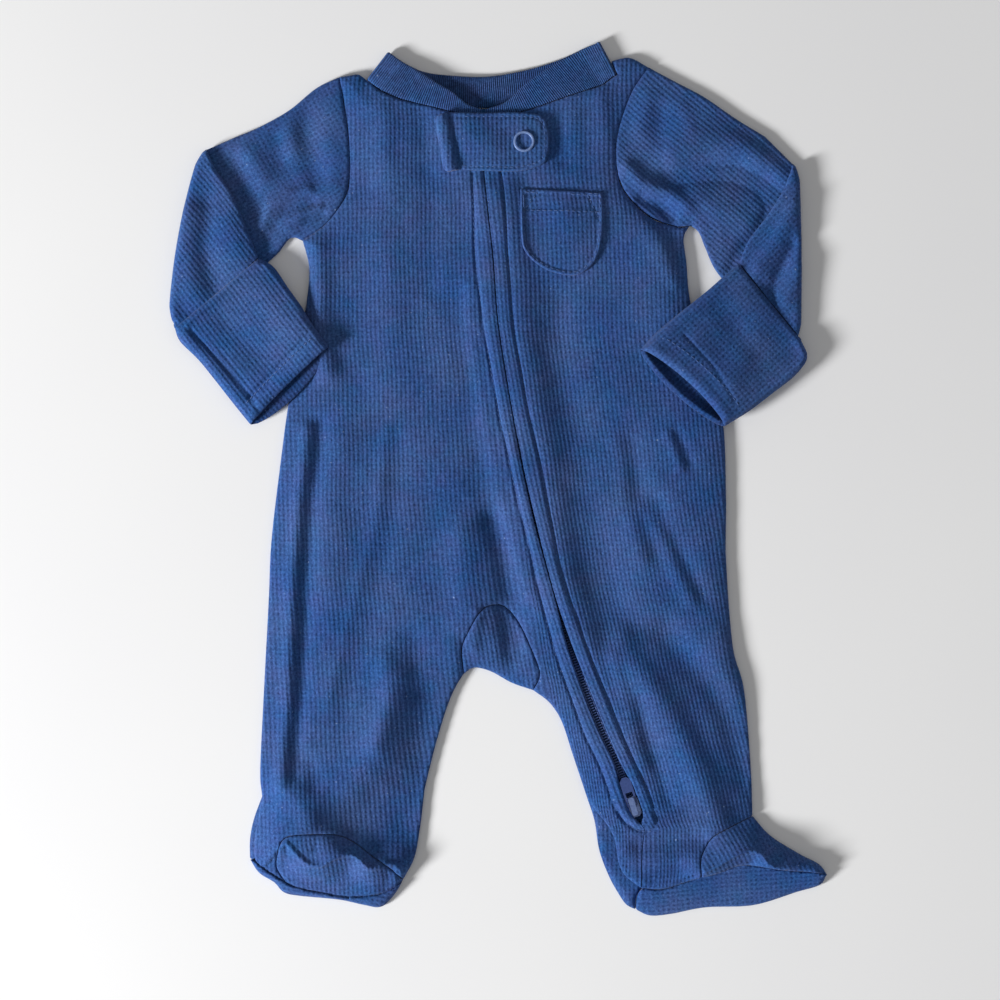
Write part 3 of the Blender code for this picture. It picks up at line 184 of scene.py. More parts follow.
# ---- Neckband: lower x, y, upper x, y, underside -----------------------------------------------
BAND_FRONT_R = ((-7.3, 189.5, -7.3, 195.0, 4.0), (-15.5, 191.5, -15.0, 198.0, 4.0),
                (-25.0, 194.0, -23.0, 204.5, 3.9), (-36.0, 197.0, -31.5, 209.5, 3.7),
                (-50.5, 200.5, -41.5, 216.0, 3.2), (-61.0, 205.0, -49.5, 220.5, 2.7))
BAND_FOLD_R = (-66.8, 209.7, -55.3, 224.7)
BAND_BACK = ((-58.5, 206.5, -49.0, 220.5), (-42.5, 200.5, -38.0, 215.5), (-24.0, 197.0, -23.0, 213.5),
             (-3.0, 196.0, -4.0, 213.0), (18.5, 198.5, 16.5, 216.5), (37.0, 204.0, 33.0, 221.5),
             (52.0, 209.5, 45.0, 227.0))
BAND_FOLD_L = (62.6, 212.5, 53.3, 230.4)
BAND_FRONT_L = ((56.5, 208.0, 45.5, 226.5, 2.7), (47.5, 205.0, 34.5, 220.5, 3.2),
                (34.0, 200.5, 23.5, 214.0, 3.7), (20.0, 195.5, 13.5, 206.5, 3.9),
                (6.5, 191.5, 5.5, 199.0, 4.0), (-5.4, 189.0, -5.4, 195.0, 4.0))

# ---- Trim: x, y --------------------------------------------------------------------------------
POCKET = ((13.0, 153.0), (57.0, 151.0), (57.0, 139.0), (56.5, 126.0), (54.0, 116.5), (50.0, 111.0),
          (43.0, 107.0), (34.0, 107.5), (24.5, 111.0), (16.5, 118.0), (13.5, 127.0))
POCKET_HEM = 11.0
POCKET_CLEAR = 0.4
POCKET_MIDDLE = ((36.0, 136.0), (36.0, 122.0))      # where it stands highest
POCKET_SPREAD = 150.0                               # and how widely, mm2
# Slanting folds of the hem's turned corners
POCKET_SLANTS = (((22.5, 150.8), (15.2, 141.4)), ((48.2, 150.4), (54.3, 137.2)))
POCKET_SEAMS = (                                    # stitching of the hem and of these corners
    ((14.5, 141.4), (35.0, 141.0), (55.8, 140.4)),
    ((14.6, 151.0), (22.5, 150.8), (15.2, 141.4), (14.6, 151.0)),
    ((48.2, 150.4), (55.8, 150.0), (54.3, 137.2), (48.2, 150.4)))
TAB = ((-33.0, 190.0), (-25.5, 193.0), (-8.0, 193.0), (10.0, 193.3), (23.5, 191.8), (27.5, 186.5),
       (28.5, 179.0), (28.0, 171.0), (25.0, 165.5), (13.0, 162.0), (-3.0, 162.0), (-19.0, 162.5),
       (-27.0, 162.5), (-30.0, 176.0))
TAB_LOW = 6.9
TAB_MIDDLE = ((-14.0, 179.0), (-2.0, 178.5))        # where it stands highest
TAB_SPREAD = 55.0                                   # and how widely, mm2
TAB_ROLL = ((-29.0, 191.0), (-23.0, 162.5))         # ends of the roll's middle line
ROLL_HALF = 3.4

# ---- Slider and pull, mm -----------------------------------------------------------------------
SLIDER_AT = (72.5, -173.3)
SLIDER_TURN = math.radians(17.5)                    # its length leans this far from the garment's
SLIDER_LONG = 11.0
SLIDER_BACK = 4.2                                   # how far it reaches towards the neck
POST_LONG = 1.8
POST_IN = 0.6                                       # post's distance from the slider's wide end

# ---- Sizes of the knit and of the finer mesh, mm -----------------------------------------------
PITCH_U = 2.35          # one waffle cell across the columns
PITCH_V = 2.62          # and along them
CELL_PARTS = 3          # mesh points to a cell, each way
RELIEF = 0.26           # height of a rib over the bottom of a cell
EDGE_STEP = 1.2         # spacing of points along an outline
OUTLINE_STEP = 2.0      # spacing of points on a curve before it is spread evenly
RIDGE_STEP = 1.5        # and on the line of a toe's ridge
SEAM_STEP = 1.0         # and on lines of stitches and extra points
ARM_STEP = 3.0          # spacing of sections of a sleeve
CUFF_STEP = 2.0         # and of a cuff
ELBOW_POINTS = 65       # points on the elbow's fold
LOOK_STEP = 0.4         # spacing of an outline's points where a distance to it is asked
EDGE_LOOK = 0.25        # and where its rounding is measured
GRAIN_LOOK = 3.0        # and where the extent of its knit is asked
EDGE_RINGS = (0.3, 0.8, 1.5)    # insets of the rounding's rows
EDGE_CLEAR = EDGE_RINGS[-1] + 0.35      # nearest that the knit's points come to an edge
EDGE_ROUND = 1.7        # width of the rounding of an edge
EDGE_FALL = 1.1         # how far it rounds down
RELIEF_MIDDLE = 0.6     # share of the relief that goes below the smooth face
RELIEF_FROM = 0.5       # distance from an edge where the relief starts
RELIEF_OVER = 1.4       # and over which it sets in
WARP_FROM = 2.0         # the same for the drift of the columns
WARP_OVER = 6.0
LEVEL_HALF = 2.0        # half the width of a strip where an edge doesn't round
LEVEL_LIFT = 4.0        # by which its distance from the edge counts as more
ROW_SHARE = 0.87        # rows of a staggered grid, as a share of its step
WELT_SPLIT = 0.3        # reach to either side of a border between two grains without points
ROW_CLEAR = 0.5         # nearest that the knit's points come to an extra row
LAYER_GAP = 0.1         # between an edge and the layer below
LEAST_CLOTH = 0.08      # thinnest that relief and rounding leave a wall
BACK_STEP = 4.0         # spacing of points on a hidden face
BESIDE = (-1.3, -0.65, 0.0, 0.65, 1.3)  # rows of extra points along a groove or ridge
BESIDE_STEP = 1.1       # and their spacing along it
WELT_BASE = (0.45, 0.1) # foot of the turned edge, right and left, as a share of its height
WELT_DOME = (0.5, 0.6)  # and the dome on it
WELT_UNEVEN = 0.16      # how much the dome's height changes along the zip
WELT_FULL = 0.8         # power that makes the dome full
WELT_STEP = 0.3         # share of its height that it has at once at the stitching
WELT_EDGE = 0.6         # how much fuller the edges at the opening are
WELT_EDGE_HALF = 0.9
WELT_END = 5.0          # distance over which it ends at the foot of the zip
WELT_DIP = 1.0          # groove of the stitching beside the zip
WELT_DIP_HALF = 0.8
WELT_DIP_TOP = 6.0      # how far the groove reaches above the turned edge
WELT_DIP_FADE = 2.0
CALM_BELOW = -174.0     # troughs beside the zip are held back above this height
CALM_FADE = 4.0
DRAW_IN = 0.3           # share by which the right edge draws in beside the slider
DRAW_BELOW = -154.0
DRAW_FADE = 8.0
FEET_BELOW = -140.0     # the toe ridges lie below this height
TOE_UP = 6.0            # height of the toe's wavy ridge over the foot
TOE_LIP = 1.5           # and of the narrow lip along it
TOE_LIP_HALF = 1.3
TOE_REACH = 4.0         # distance from the rim over which they set in
ROLL_UP = 1.6           # height of the sole's roll over the flat sole
ROLL_SEAM = 3.3         # and its height at the seam with the foot
ROLL_FULL = 0.45        # power that makes the roll full
ELBOW_TAPER = 9.0       # distance over which the elbow's fold widens from its ends
ARM_REACH = 7.0         # distance from an upper arm's sides over which its creases set in
FORE_REACH = 5.0        # and from a forearm's
ARM_SINK = -1.2         # deepest trough of an upper arm
FORE_WANDER = 0.7       # share of the cloth's unevenness on a forearm
CUFF_WANDER = 0.5       # and on a cuff
CUFF_REACH = 3.0        # distance from a cuff's sides over which its creases set in
CUFF_ROLLS = ((0.4, 0.3), (1.0, 2.4))   # rolled edges of the mouths: upper and lower layer
ROLL_PLACE = (3.0, 3.2) # the upper roll's distance from the mouth and its half width
LIP_PLACE = (2.0, 1.7)  # and the lower one's
MOUTH_FULL = 0.6        # power that makes the mouth's curve full
MOUTH_EDGES = ((1.6, 2.8), (0.5, EDGE_ROUND))   # fall and width of their rounding
CUFF_HEMS = (9.0, 11.5) # distance of the hem's stitching from the mouth, right and left
BACK_WALL = 1.3         # cloth of the lower layer inside the mouth
PAINTED_SHADE_INSIDE = 0.7       # how much painted shade darkens the inside of a mouth
PAINTED_SHADE_BEHIND = 0.4       # and the painted shade on the back of the neckband
POCKET_CLOTH = 0.8
POCKET_PUFF = 1.3       # how far the pocket's middle stands off
POCKET_SEWN = 1.9       # distance of its stitching from its edge
POCKET_BEADS = ((0.75, 1.0, 0.8), (-0.3, 2.6, 0.7))     # along its edge: height, place, half width
HEM_DIP = 0.25          # groove at the foot of the hem, and how much lower the hem lies
SLANT_DIP = 0.4         # and of the stitching of its corners
DIP_HALF = 0.8          # half the width of these grooves
HEM_SHARE = 0.5         # how much of the edge's form is left on the hem
TAB_CLOTH = 1.5         # doubled cloth of the tab
TAB_ROLL_UP = 2.3       # roll of the tab's sewn end
TAB_SEWN = 2.3          # distance of the tab's stitching from its edge
TAB_SEWN_FROM = -18.5   # the stitching shows on the wearer's left of this line
TAB_DIP = 0.5           # groove of that stitching
TAB_GROOVE = (-0.8, 1.22, 0.25)     # groove beside the roll: height, then shares of the roll's half
TAB_PLAIN = 1.6         # the stitching stops this far from the roll, in the same shares
TAB_PUFF = 1.1          # how far the tab's middle stands off
TAB_UNEVEN = 0.3
STITCH_LONG = 2.2
STITCH_GAP = 0.9
STITCH_HALF = 0.22
STITCH_UP = 0.12
RIB_PITCH = 1.1
RIB_PARTS = 3
RIB_RELIEF = 0.16
FOLD_PARTS = 19         # sections of the neckband's turn at a shoulder
TAPE_PARTS = 190        # sections of a zip tape
TAPE_ROUND = 0.15       # how far its two edges are thinner, each face
COIL_UP = 1.9           # how far the closed coil stands up between the zip's edges
TOOTH_PITCH = 1.3
TOOTH_HALF = 0.3
TOOTH_UP = 0.28         # height of the rungs over the coil's cords
CORD_AT = 1.75          # distance of a cord from the zip's centre
CORD_HALF = 0.36
CORD_OVERLAP = 0.12     # share by which each piece of a cord runs over the next
COIL_RISE = (12.0, 8.0) # distance above the slider where it stands up, and over which
COIL_GAP = (0.9, 0.7)   # half gap from which it does, and over which

# ---- Hard parts: width of the softened edges, mm -----------------------------------------------
SOFT_EDGES = {"slider": 0.28, "pull_tab": 0.3, "snap_ring": 0.2}

# ---- Picture, metres ---------------------------------------------------------------------------
FRAME_WIDE = 0.53       # across the picture
CAMERA_AT = (0.001285, -0.011265, 1.504)
CAMERA_HIGH = 1.5       # above the face of the garment
SENSOR_WIDE = 36.0      # of the camera, mm
FLOOR_HALF = 3.0
FLOOR_LEVEL = -0.0002
LIGHTS = (              # name, place, diameter, power; all aim at the middle of the garment
    ("key", (-2.19, -1.02, 0.98), 0.6, 105.0),
    ("fill", (1.2, -0.4, 1.3), 1.2, 1.0),
    ("top", (0.0, 0.1, 1.9), 1.4, 1.5))
STUDIO_LIGHT = 0.22     # strength of the even white light

# ---- Creases of the front: half width, height, then the points x, y of its line ----------------
CREASES = (
    (4.3, 2.1, (-100.5, 25.0), (-104.5, -12.0), (-108.0, -65.0), (-111.0, -118.0),
        (-113.5, -163.0)),
    (4.6, -1.6, (-92.5, 28.0), (-96.5, -12.0), (-100.5, -65.0), (-103.5, -118.0), (-105.5, -157.5)),
    (7.0, 0.8, (-82.5, 20.0), (-85.5, -43.5), (-89.0, -112.5)),
    (4.0, 0.6, (-58.0, 25.0), (-62.5, -22.5), (-78.0, -75.5), (-89.0, -120.5)),
    (5.0, -0.5, (-50.5, 20.0), (-54.0, -28.0), (-68.5, -81.0), (-80.0, -126.0)),
    (9.0, 1.9, (-19.0, -30.5), (-15.5, -65.0), (-20.0, -107.5), (-27.5, -139.0)),
    (7.0, -1.4, (-43.5, -86.0), (-42.0, -112.5)),
    (5.0, 1.2, (-58.0, -96.5), (-57.0, -118.0), (-62.5, -142.0)),
    (11.0, 3.6, (-50.5, -107.5), (-59.0, -134.0), (-67.5, -155.0), (-82.5, -169.0),
        (-95.0, -179.0)),
    (12.0, 4.7, (-103.5, -169.5), (-98.0, -185.0), (-91.0, -193.0)),
    (14.0, -3.5, (-29.5, -118.0), (-30.5, -144.5), (-37.5, -171.0), (-48.0, -195.0)),
    (7.0, -2.0, (-76.0, -191.0), (-53.5, -196.5)),
    (5.0, -1.2, (-97.5, -151.0), (-96.5, -163.0)),
    (6.0, 1.2, (-112.0, -171.0), (-116.5, -187.0)),
    (6.5, -2.8, (-1.0, -22.5), (4.5, -43.5), (8.5, -65.0), (11.0, -91.5)),
    (5.0, -1.6, (2.5, -70.0), (6.0, -86.0), (7.5, -99.5)),
    (3.0, 1.0, (-9.5, -71.5), (-11.5, -89.0)),
    (4.0, -1.2, (-18.0, -86.0), (-15.5, -101.0)),
    (9.0, 1.9, (-6.0, 152.5), (-2.0, 104.5), (2.0, 62.5), (9.5, 20.0), (18.0, -12.0), (29.5, -51.5),
        (43.0, -91.5)),
    (8.0, 2.1, (6.5, 152.5), (11.5, 104.5), (16.5, 62.5), (24.0, 20.0), (31.0, -12.0),
        (40.0, -51.5), (52.5, -91.5)),
    (3.6, 0.7, (-14.0, 102.0), (-11.5, 62.5), (-6.0, 30.5), (2.0, -6.5), (11.5, -38.5),
        (23.0, -73.0)),
    (7.0, -0.9, (-21.0, 94.0), (-15.5, 51.5), (-10.5, 14.5), (-3.5, -14.5)),
    (9.0, -1.4, (32.0, 94.0), (36.0, 51.5), (45.0, 9.5), (54.5, -28.0), (66.0, -65.0),
        (76.5, -91.5)),
    (5.5, 0.6, (47.0, -86.0), (58.5, -112.5), (70.0, -139.0)),
    (14.0, -1.2, (42.0, -33.0), (55.5, -70.0), (76.5, -96.5)),
    (18.0, -1.3, (55.5, 99.5), (61.5, 51.5), (69.0, 4.0)),
    (14.0, 1.2, (82.0, 134.0), (89.5, 89.0)),
    (5.0, 1.0, (73.5, 152.5), (82.0, 132.0), (95.5, 104.5)),
    (6.0, -1.4, (87.0, 144.5), (98.0, 126.0), (105.0, 110.0)),
    (9.0, 3.2, (67.0, -86.0), (83.0, -112.5), (99.0, -139.0), (109.5, -163.0), (116.0, -182.5)),
    (8.0, -2.8, (89.5, -82.0), (107.5, -103.0), (124.5, -126.0), (135.0, -157.5)),
    (7.0, 1.0, (120.0, -86.0), (131.5, -118.0)),
    (3.2, 0.9, (91.5, 22.0), (98.0, 6.0)),
    (4.0, -1.0, (96.0, 23.0), (103.0, 7.0)),
    (4.5, 1.0, (77.5, -14.5), (89.5, -36.0), (103.0, -64.0)),
    (4.5, -0.9, (85.0, -12.0), (96.5, -36.0), (110.5, -65.0)),
    (5.0, 0.8, (63.0, 20.0), (69.0, -12.0), (78.5, -43.5)),
    (5.0, -0.9, (72.5, 17.0), (77.5, -12.0), (86.0, -39.5)),
    (4.0, -1.0, (76.5, -118.0), (85.0, -149.5), (91.5, -171.0)),
    (4.0, 1.0, (61.5, -94.0), (70.0, -123.0), (78.5, -152.5)),
    (4.5, -2.0, (76.5, -195.5), (91.5, -193.5), (109.5, -192.0)),
    (4.0, 1.0, (84.5, -184.5), (105.5, -183.0)),
    (4.0, -1.0, (76.5, -209.0), (95.5, -206.0)),
    (4.0, 0.9, (67.0, -201.5), (76.5, -213.5)),
    (3.5, -1.0, (61.5, -195.0), (71.5, -209.0)),
    (0.9, -1.0, (65.0, -177.0), (69.5, -182.5), (73.5, -186.0), (77.0, -187.0), (81.5, -187.5),
        (84.5, -186.0)),
    (1.8, 0.8, (66.0, -173.5), (70.0, -180.0), (74.5, -183.0), (80.0, -184.0), (83.0, -181.5)),
    (12.0, -1.1, (-90.5, 65.0), (-104.5, 43.5)),
    (15.0, -1.5, (82.0, 58.0), (108.5, 36.0)),
    (7.0, 3.6, (-96.0, 147.0), (-96.5, 120.5), (-94.5, 89.0), (-90.0, 57.0)),
    (14.0, -1.0, (-71.0, 147.0), (-69.5, 94.0), (-73.0, 51.5)),
    (9.0, 0.7, (-58.5, 147.0), (-55.0, 78.0)),
    (6.0, 1.0, (-59.0, 195.0), (-58.0, 160.5)),
    (5.0, -0.4, (-72.0, 189.5), (-68.5, 155.0)),
    (6.0, -1.2, (-39.0, 193.5), (-36.0, 162.0)),
    (5.5, -1.0, (34.0, 193.5), (35.0, 168.5)),
    (6.0, -0.6, (-23.0, 156.5), (13.0, 155.5)),
    (5.0, 1.0, (56.5, 202.5), (60.5, 179.0)),
    (6.0, -0.8, (47.5, 195.0), (50.0, 168.5)),
    (6.0, -0.7, (-34.5, 152.5), (-32.5, 99.5)),
)
TOE_RIDGE_R = (
    (-113.5, -195.5), (-110.5, -192.5), (-107.0, -196.0), (-103.0, -200.5), (-98.5, -204.0),
    (-92.5, -204.5), (-87.0, -201.5), (-82.0, -199.5), (-76.5, -199.0), (-72.0, -201.5),
    (-67.5, -206.0), (-63.0, -206.0), (-58.0, -204.0), (-52.5, -205.0), (-49.5, -209.0))
TOE_RIDGE_L = (
    (110.0, -208.0), (117.0, -205.0), (123.0, -201.0), (129.5, -198.0), (136.0, -197.0),
    (140.5, -199.5), (145.5, -205.0), (151.0, -206.5), (157.5, -204.5), (163.5, -203.5),
    (169.5, -206.0))
TOE_RIDGES = ((TOE_RIDGE_R, 12.0, 8.0), (TOE_RIDGE_L, 9.0, 7.0))    # half widths behind, ahead
ARM_CREASES_R = (
    (8.0, 1.0, (-87.5, 205.5), (-86.5, 179.0), (-86.5, 152.5)),
    (6.0, -1.6, (-101.5, 198.0), (-99.0, 179.0), (-95.0, 162.0)),
    (5.0, 0.9, (-110.0, 190.5), (-108.0, 173.5)),
    (5.0, -1.0, (-117.5, 185.0), (-113.0, 168.5)),
    (6.0, 1.2, (-132.0, 173.5), (-124.0, 158.5)),
    (2.8, 1.5, (-124.0, 133.5), (-119.5, 144.0), (-110.0, 150.5), (-99.5, 153.0)),
    (2.6, -1.4, (-117.0, 133.5), (-112.0, 141.0), (-97.5, 146.5)),
    (2.4, 1.3, (-110.0, 132.0), (-104.0, 139.5), (-94.0, 143.5)),
    (2.2, -1.3, (-104.0, 131.5), (-99.0, 137.0), (-92.0, 140.0)),
    (7.0, -1.5, (-138.5, 168.5), (-127.0, 147.0), (-121.5, 126.0)),
)
ARM_CREASES_L = (
    (4.4, 2.7, (70.0, 164.5), (77.5, 156.5), (90.5, 152.5), (101.0, 143.0), (106.5, 132.0)),
    (3.4, -2.0, (77.5, 148.0), (87.0, 144.0), (93.5, 137.5)),
    (7.0, 1.3, (105.0, 148.0), (121.0, 142.0), (135.0, 133.5)),
    (6.5, -3.4, (91.5, 158.5), (108.5, 162.5), (127.0, 162.0), (141.0, 155.5), (151.0, 144.0)),
    (4.0, -1.7, (147.5, 143.5), (136.0, 127.0), (124.5, 111.0)),
    (9.0, 2.4, (95.5, 173.5), (111.5, 178.0), (132.0, 174.5), (151.0, 164.0)),
    (5.0, 1.0, (81.0, 202.5), (76.5, 184.0)),
    (5.0, -0.9, (88.0, 195.0), (87.0, 179.0)),
    (5.0, 0.8, (99.0, 196.0), (103.0, 184.0)),
)
FORE_CREASES_R = (
    (3.5, 1.3, (-149.0, 168.5), (-138.5, 149.5), (-131.0, 132.0), (-126.0, 117.5)),
    (6.5, 1.4, (-162.0, 140.5), (-163.5, 118.0), (-160.5, 99.5)),
    (6.0, -1.5, (-153.0, 144.5), (-153.0, 120.5), (-148.0, 99.5)),
    (9.0, 1.2, (-137.5, 134.0), (-133.5, 114.0)),
    (4.0, -1.0, (-165.0, 87.5), (-156.5, 84.5)),
)
FORE_CREASES_L = (
    (4.5, 1.6, (157.0, 144.5), (149.5, 126.0), (138.0, 109.0)),
    (3.4, -2.2, (158.0, 123.0), (152.0, 111.0), (146.5, 99.5), (145.5, 93.0)),
    (4.0, 1.0, (160.5, 111.0), (155.0, 94.0)),
    (3.0, -0.7, (130.5, 114.0), (142.5, 102.5)),
)
CUFF_CREASES_R = (
    (1.1, -0.9, (-160.5, 77.5), (-154.0, 71.0), (-142.0, 57.5), (-130.5, 44.5), (-124.0, 33.5)),
    (3.0, 0.8, (-165.0, 77.0), (-157.5, 67.5), (-146.0, 55.0), (-135.5, 41.0)),
    (1.0, -0.5, (-145.0, 66.5), (-133.0, 51.5), (-126.0, 43.0)),
    (0.9, -0.8, (-130.0, 43.0), (-98.5, 75.0)),
    (2.2, 0.7, (-126.5, 39.0), (-94.0, 71.0)),
    (8.0, 1.2, (-124.0, 99.5), (-103.5, 75.0)),
    (7.0, -1.0, (-143.5, 84.5), (-124.0, 64.5)),
    (1.4, 0.8, (-163.0, 80.5), (-149.0, 93.5), (-134.5, 108.0), (-125.5, 114.0)),
)
CUFF_CREASES_L = (
    (0.9, -0.6, (100.0, 74.5), (114.0, 58.5), (126.0, 40.0)),
    (0.9, -0.7, (93.5, 80.0), (120.0, 102.5)),
    (0.8, -0.6, (87.0, 76.0), (117.0, 102.0)),
    (7.0, -1.0, (120.0, 90.0), (136.0, 68.5)),
    (8.0, 1.1, (142.0, 84.0), (124.5, 52.0)),
    (1.0, -0.7, (140.0, 98.5), (153.0, 85.0)),
    (6.0, 0.8, (132.0, 94.0), (108.5, 78.0)),
    (14.0, 2.4, (89.5, 68.5), (106.5, 59.0), (120.0, 45.5)),
    (12.0, -1.0, (123.0, 103.5), (143.0, 84.5), (158.5, 66.5)),
)


# ---- Curves ------------------------------------------------------------------------------------
def smooth(rows, step):
    """Rows about step apart on a Catmull-Rom curve through the given rows; x and y lead."""
    rows = np.array(rows, dtype=float)
    ends = np.vstack((2 * rows[0] - rows[1], rows, 2 * rows[-1] - rows[-2]))
    out = []
    for i in range(1, len(ends) - 2):
        p0, p1, p2, p3 = ends[i - 1:i + 3]
        parts = max(1, round(np.linalg.norm((p2 - p1)[:2]) / step))
        for k in range(parts):
            t = k / parts
            out.append(0.5 * (2 * p1 + (p2 - p0) * t + (2 * p0 - 5 * p1 + 4 * p2 - p3) * t ** 2
                              + (3 * p1 - p0 - 3 * p2 + p3) * t ** 3))
    out.append(ends[-2])
    return np.array(out)


def outline(*edges, step=OUTLINE_STEP):
    """One outline from edges that follow each other, each smoothed between its own ends."""
    points = []
    for edge in edges:
        points.extend(smooth(edge, step))
    kept = [points[0]]
    for point in points[1:]:
        if np.linalg.norm(point - kept[-1]) > LEAST_APART:
            kept.append(point)
    if np.linalg.norm(kept[0] - kept[-1]) < LEAST_APART:
        kept.pop()
    return np.array(kept)


def flip(edge):
    return tuple(reversed(edge))


def signed_area(loop):
    x, y = loop[:, 0], loop[:, 1]
    return 0.5 * np.sum(x * np.roll(y, -1) - np.roll(x, -1) * y)


def turned_left(loop):
    """The loop in counterclockwise order."""
    return loop[::-1] if signed_area(loop) < 0 else loop


def left_of(way):
    """Directions a quarter turn to the left of the given ones."""
    return np.stack((-way[..., 1], way[..., 0]), -1)


def inset(loop, distance):
    """The loop moved inward by a distance, corner by corner, in counterclockwise order."""
    loop = turned_left(loop)
    before = loop - np.roll(loop, 1, axis=0)
    after = np.roll(loop, -1, axis=0) - loop
    n0 = left_of(before) / np.linalg.norm(before, axis=1)[:, None]
    n1 = left_of(after) / np.linalg.norm(after, axis=1)[:, None]
    middle = n0 + n1
    reach = np.maximum(np.sum(middle * n0, axis=1), SHARPEST)
    return loop + distance * middle / reach[:, None]


def distance_to(points, line, closed=False):
    """Plan distance from each point to a polyline."""
    points = np.atleast_2d(points)[:, :2]
    ends = np.roll(line, -1, axis=0) if closed else line[1:]
    starts = line if closed else line[:-1]
    best = np.full(len(points), np.inf)
    for a, b in zip(starts[:, :2], ends[:, :2]):
        along = b - a
        t = np.clip((points - a) @ along / max(along @ along, TINY), 0, 1)
        best = np.minimum(best, np.linalg.norm(points - a - t[:, None] * along, axis=1))
    return best


def distance_to_any(points, lines):
    """Plan distance from each point to the nearest of several polylines."""
    return np.min([distance_to(points, line) for line in lines], axis=0)


def within(points, loop):
    """Whether each point is inside a closed loop."""
    x, y = points[:, 0], points[:, 1]
    odd = np.zeros(len(points), dtype=bool)
    for (ax, ay), (bx, by) in zip(loop, np.roll(loop, -1, axis=0)):
        if ay != by:
            crosses = (ay > y) != (by > y)
            odd ^= crosses & (x < (bx - ax) * (y - ay) / (by - ay) + ax)
    return odd


def run_of(line):
    """Length along a polyline at each of its points."""
    return np.concatenate(((0.0,), np.cumsum(np.linalg.norm(np.diff(line, axis=0), axis=1))))


def points_at(line, run, at):
    """Points on a polyline where its run has the given values."""
    return np.stack([np.interp(at, run, line[:, k]) for k in range(line.shape[1])], 1)


def across(line, share):
    """Points at shares of a polyline's length."""
    length = np.linalg.norm(np.diff(line, axis=0), axis=1).sum()
    return points_at(line, run_of(line) / length, share)


def spread(loop, step):
    """Points at even steps round a closed loop."""
    closed = np.vstack((loop, loop[:1]))
    run = run_of(closed)
    at = np.linspace(0, run[-1], max(8, round(run[-1] / step)), endpoint=False)
    return points_at(closed, run, at)


def straight_line(a, b, bow=0.0):
    """Plan line from a to b, bowed to the left of its direction."""
    a, b = np.array(a, dtype=float), np.array(b, dtype=float)
    s = np.linspace(0, 1, LINE_POINTS)
    side = left_of(b - a) / np.linalg.norm(b - a)
    return a + (b - a) * s[:, None] + side * (4 * bow * s * (1 - s))[:, None]


def armhole_line(row, armhole):
    """Section line of the upper arm, drawn towards the armhole's curve by the row's share."""
    a, b, share = row[:2], row[2:4], row[4]
    s = np.linspace(0, 1, LINE_POINTS)
    curve = across(smooth(armhole, FINE_STEP), s)
    chord = curve[0] + (curve[-1] - curve[0]) * s[:, None]
    return a + (b - a) * s[:, None] + share * (curve - chord)


# ---- Steps, bells and the line of the zip ------------------------------------------------------
ZIP_LINE = smooth([(row[1], row[0]) + row[2:] for row in ZIP_ROWS], FINE_STEP)
ZIP_LINE = ZIP_LINE[np.argsort(ZIP_LINE[:, 1])]


def fade(distance, reach):
    """Rises evenly from 0 to 1 over a reach."""
    return np.clip(distance / reach, 0, 1)


def bell(distance, half):
    """Falls from 1 at no distance, smoothly, to 1/e at half a width."""
    return np.exp(-(distance / half) ** 2)


def beads(distance, *rows):
    """Sum of narrow ridges and grooves, given by height, distance and half width."""
    return sum(height * bell(distance - at, half) for height, at, half in rows)


def zip_at(y):
    """Centre, welt widths and half gap of the zip at a height on the garment."""
    gaps = np.array(ZIP_GAPS)
    return ([np.interp(y, ZIP_LINE[:, 1], ZIP_LINE[:, k]) for k in (0, 2, 3)]
            + [np.interp(y, gaps[:, 0], gaps[:, 1])])


def zip_centre(y):
    return zip_at(y)[0]


def along_zip(offset, y):
    return np.stack((zip_centre(y) + offset, y), 1)


def zip_edge(side):
    """Panel edge beside the zip, from the top down; side is -1 for the wearer's right."""
    y = np.linspace(ZIP_TOP, ZIP_END, ZIP_POINTS)
    centre, _, _, gap = zip_at(y)
    if side < 0:
        gap = gap * (1 - DRAW_IN * fade(DRAW_BELOW - y, DRAW_FADE))
    return np.stack((centre + side * gap, y), 1)


def sewn_line(side):
    """Stitching line of the turned edge on one side of the zip."""
    y = np.linspace(WELT_TOP + 1.0, ZIP_END + 8.0, SEWN_POINTS)
    centre, right, left, _ = zip_at(y)
    return np.stack((centre + np.where(side < 0, -right, left), y), 1)


# ---- Forms of the cloth ------------------------------------------------------------------------
BODY_RIM = [smooth(edge, FINE_STEP) for edge in (
    SHOULDER_R, ARMHOLE_R, SIDE_R, FOOT_R_SIDE, FOOT_R_TOE, FOOT_R_INNER, INNER_R, CROTCH, INNER_L,
    HEEL_EDGE_L, FOOT_L_RIM, TOE_L_RIM, SIDE_L, ARMHOLE_L, SHOULDER_L)]


def inside(points):
    """Height of the underside of the front layer."""
    rim = distance_to_any(points, BODY_RIM)
    return FRONT_LOW + PUFF * (1 - np.exp(-rim / PUFF_REACH))


def flat(height):
    return lambda points: np.full(len(points), float(height))


def crease_height(points, creases):
    """Sum of soft ridges and troughs along their lines."""
    total = np.zeros(len(points))
    for half, height, *line in creases:
        total += height * bell(distance_to(points, np.array(line)), half)
    return total


def wander(points):
    """Slow unevenness of cloth that lies loose: broad swells, narrower waves and small dents."""
    x, y = points[:, 0], points[:, 1]
    swells = 0.22 * np.sin(x / 12.0 + 1.6 * np.sin(y / 37.0)) * np.sin(y / 29.0 + x / 61.0)
    waves = 0.18 * np.sin(x / 6.1 + y / 17.0 + 1.3 * np.sin(y / 23.0))
    dents = 0.09 * np.sin(x / 2.9 + 2.0 * np.sin(y / 13.0)) * np.sin(y / 4.1 + 1.7 * np.sin(x / 17.0))
    return swells + waves + dents


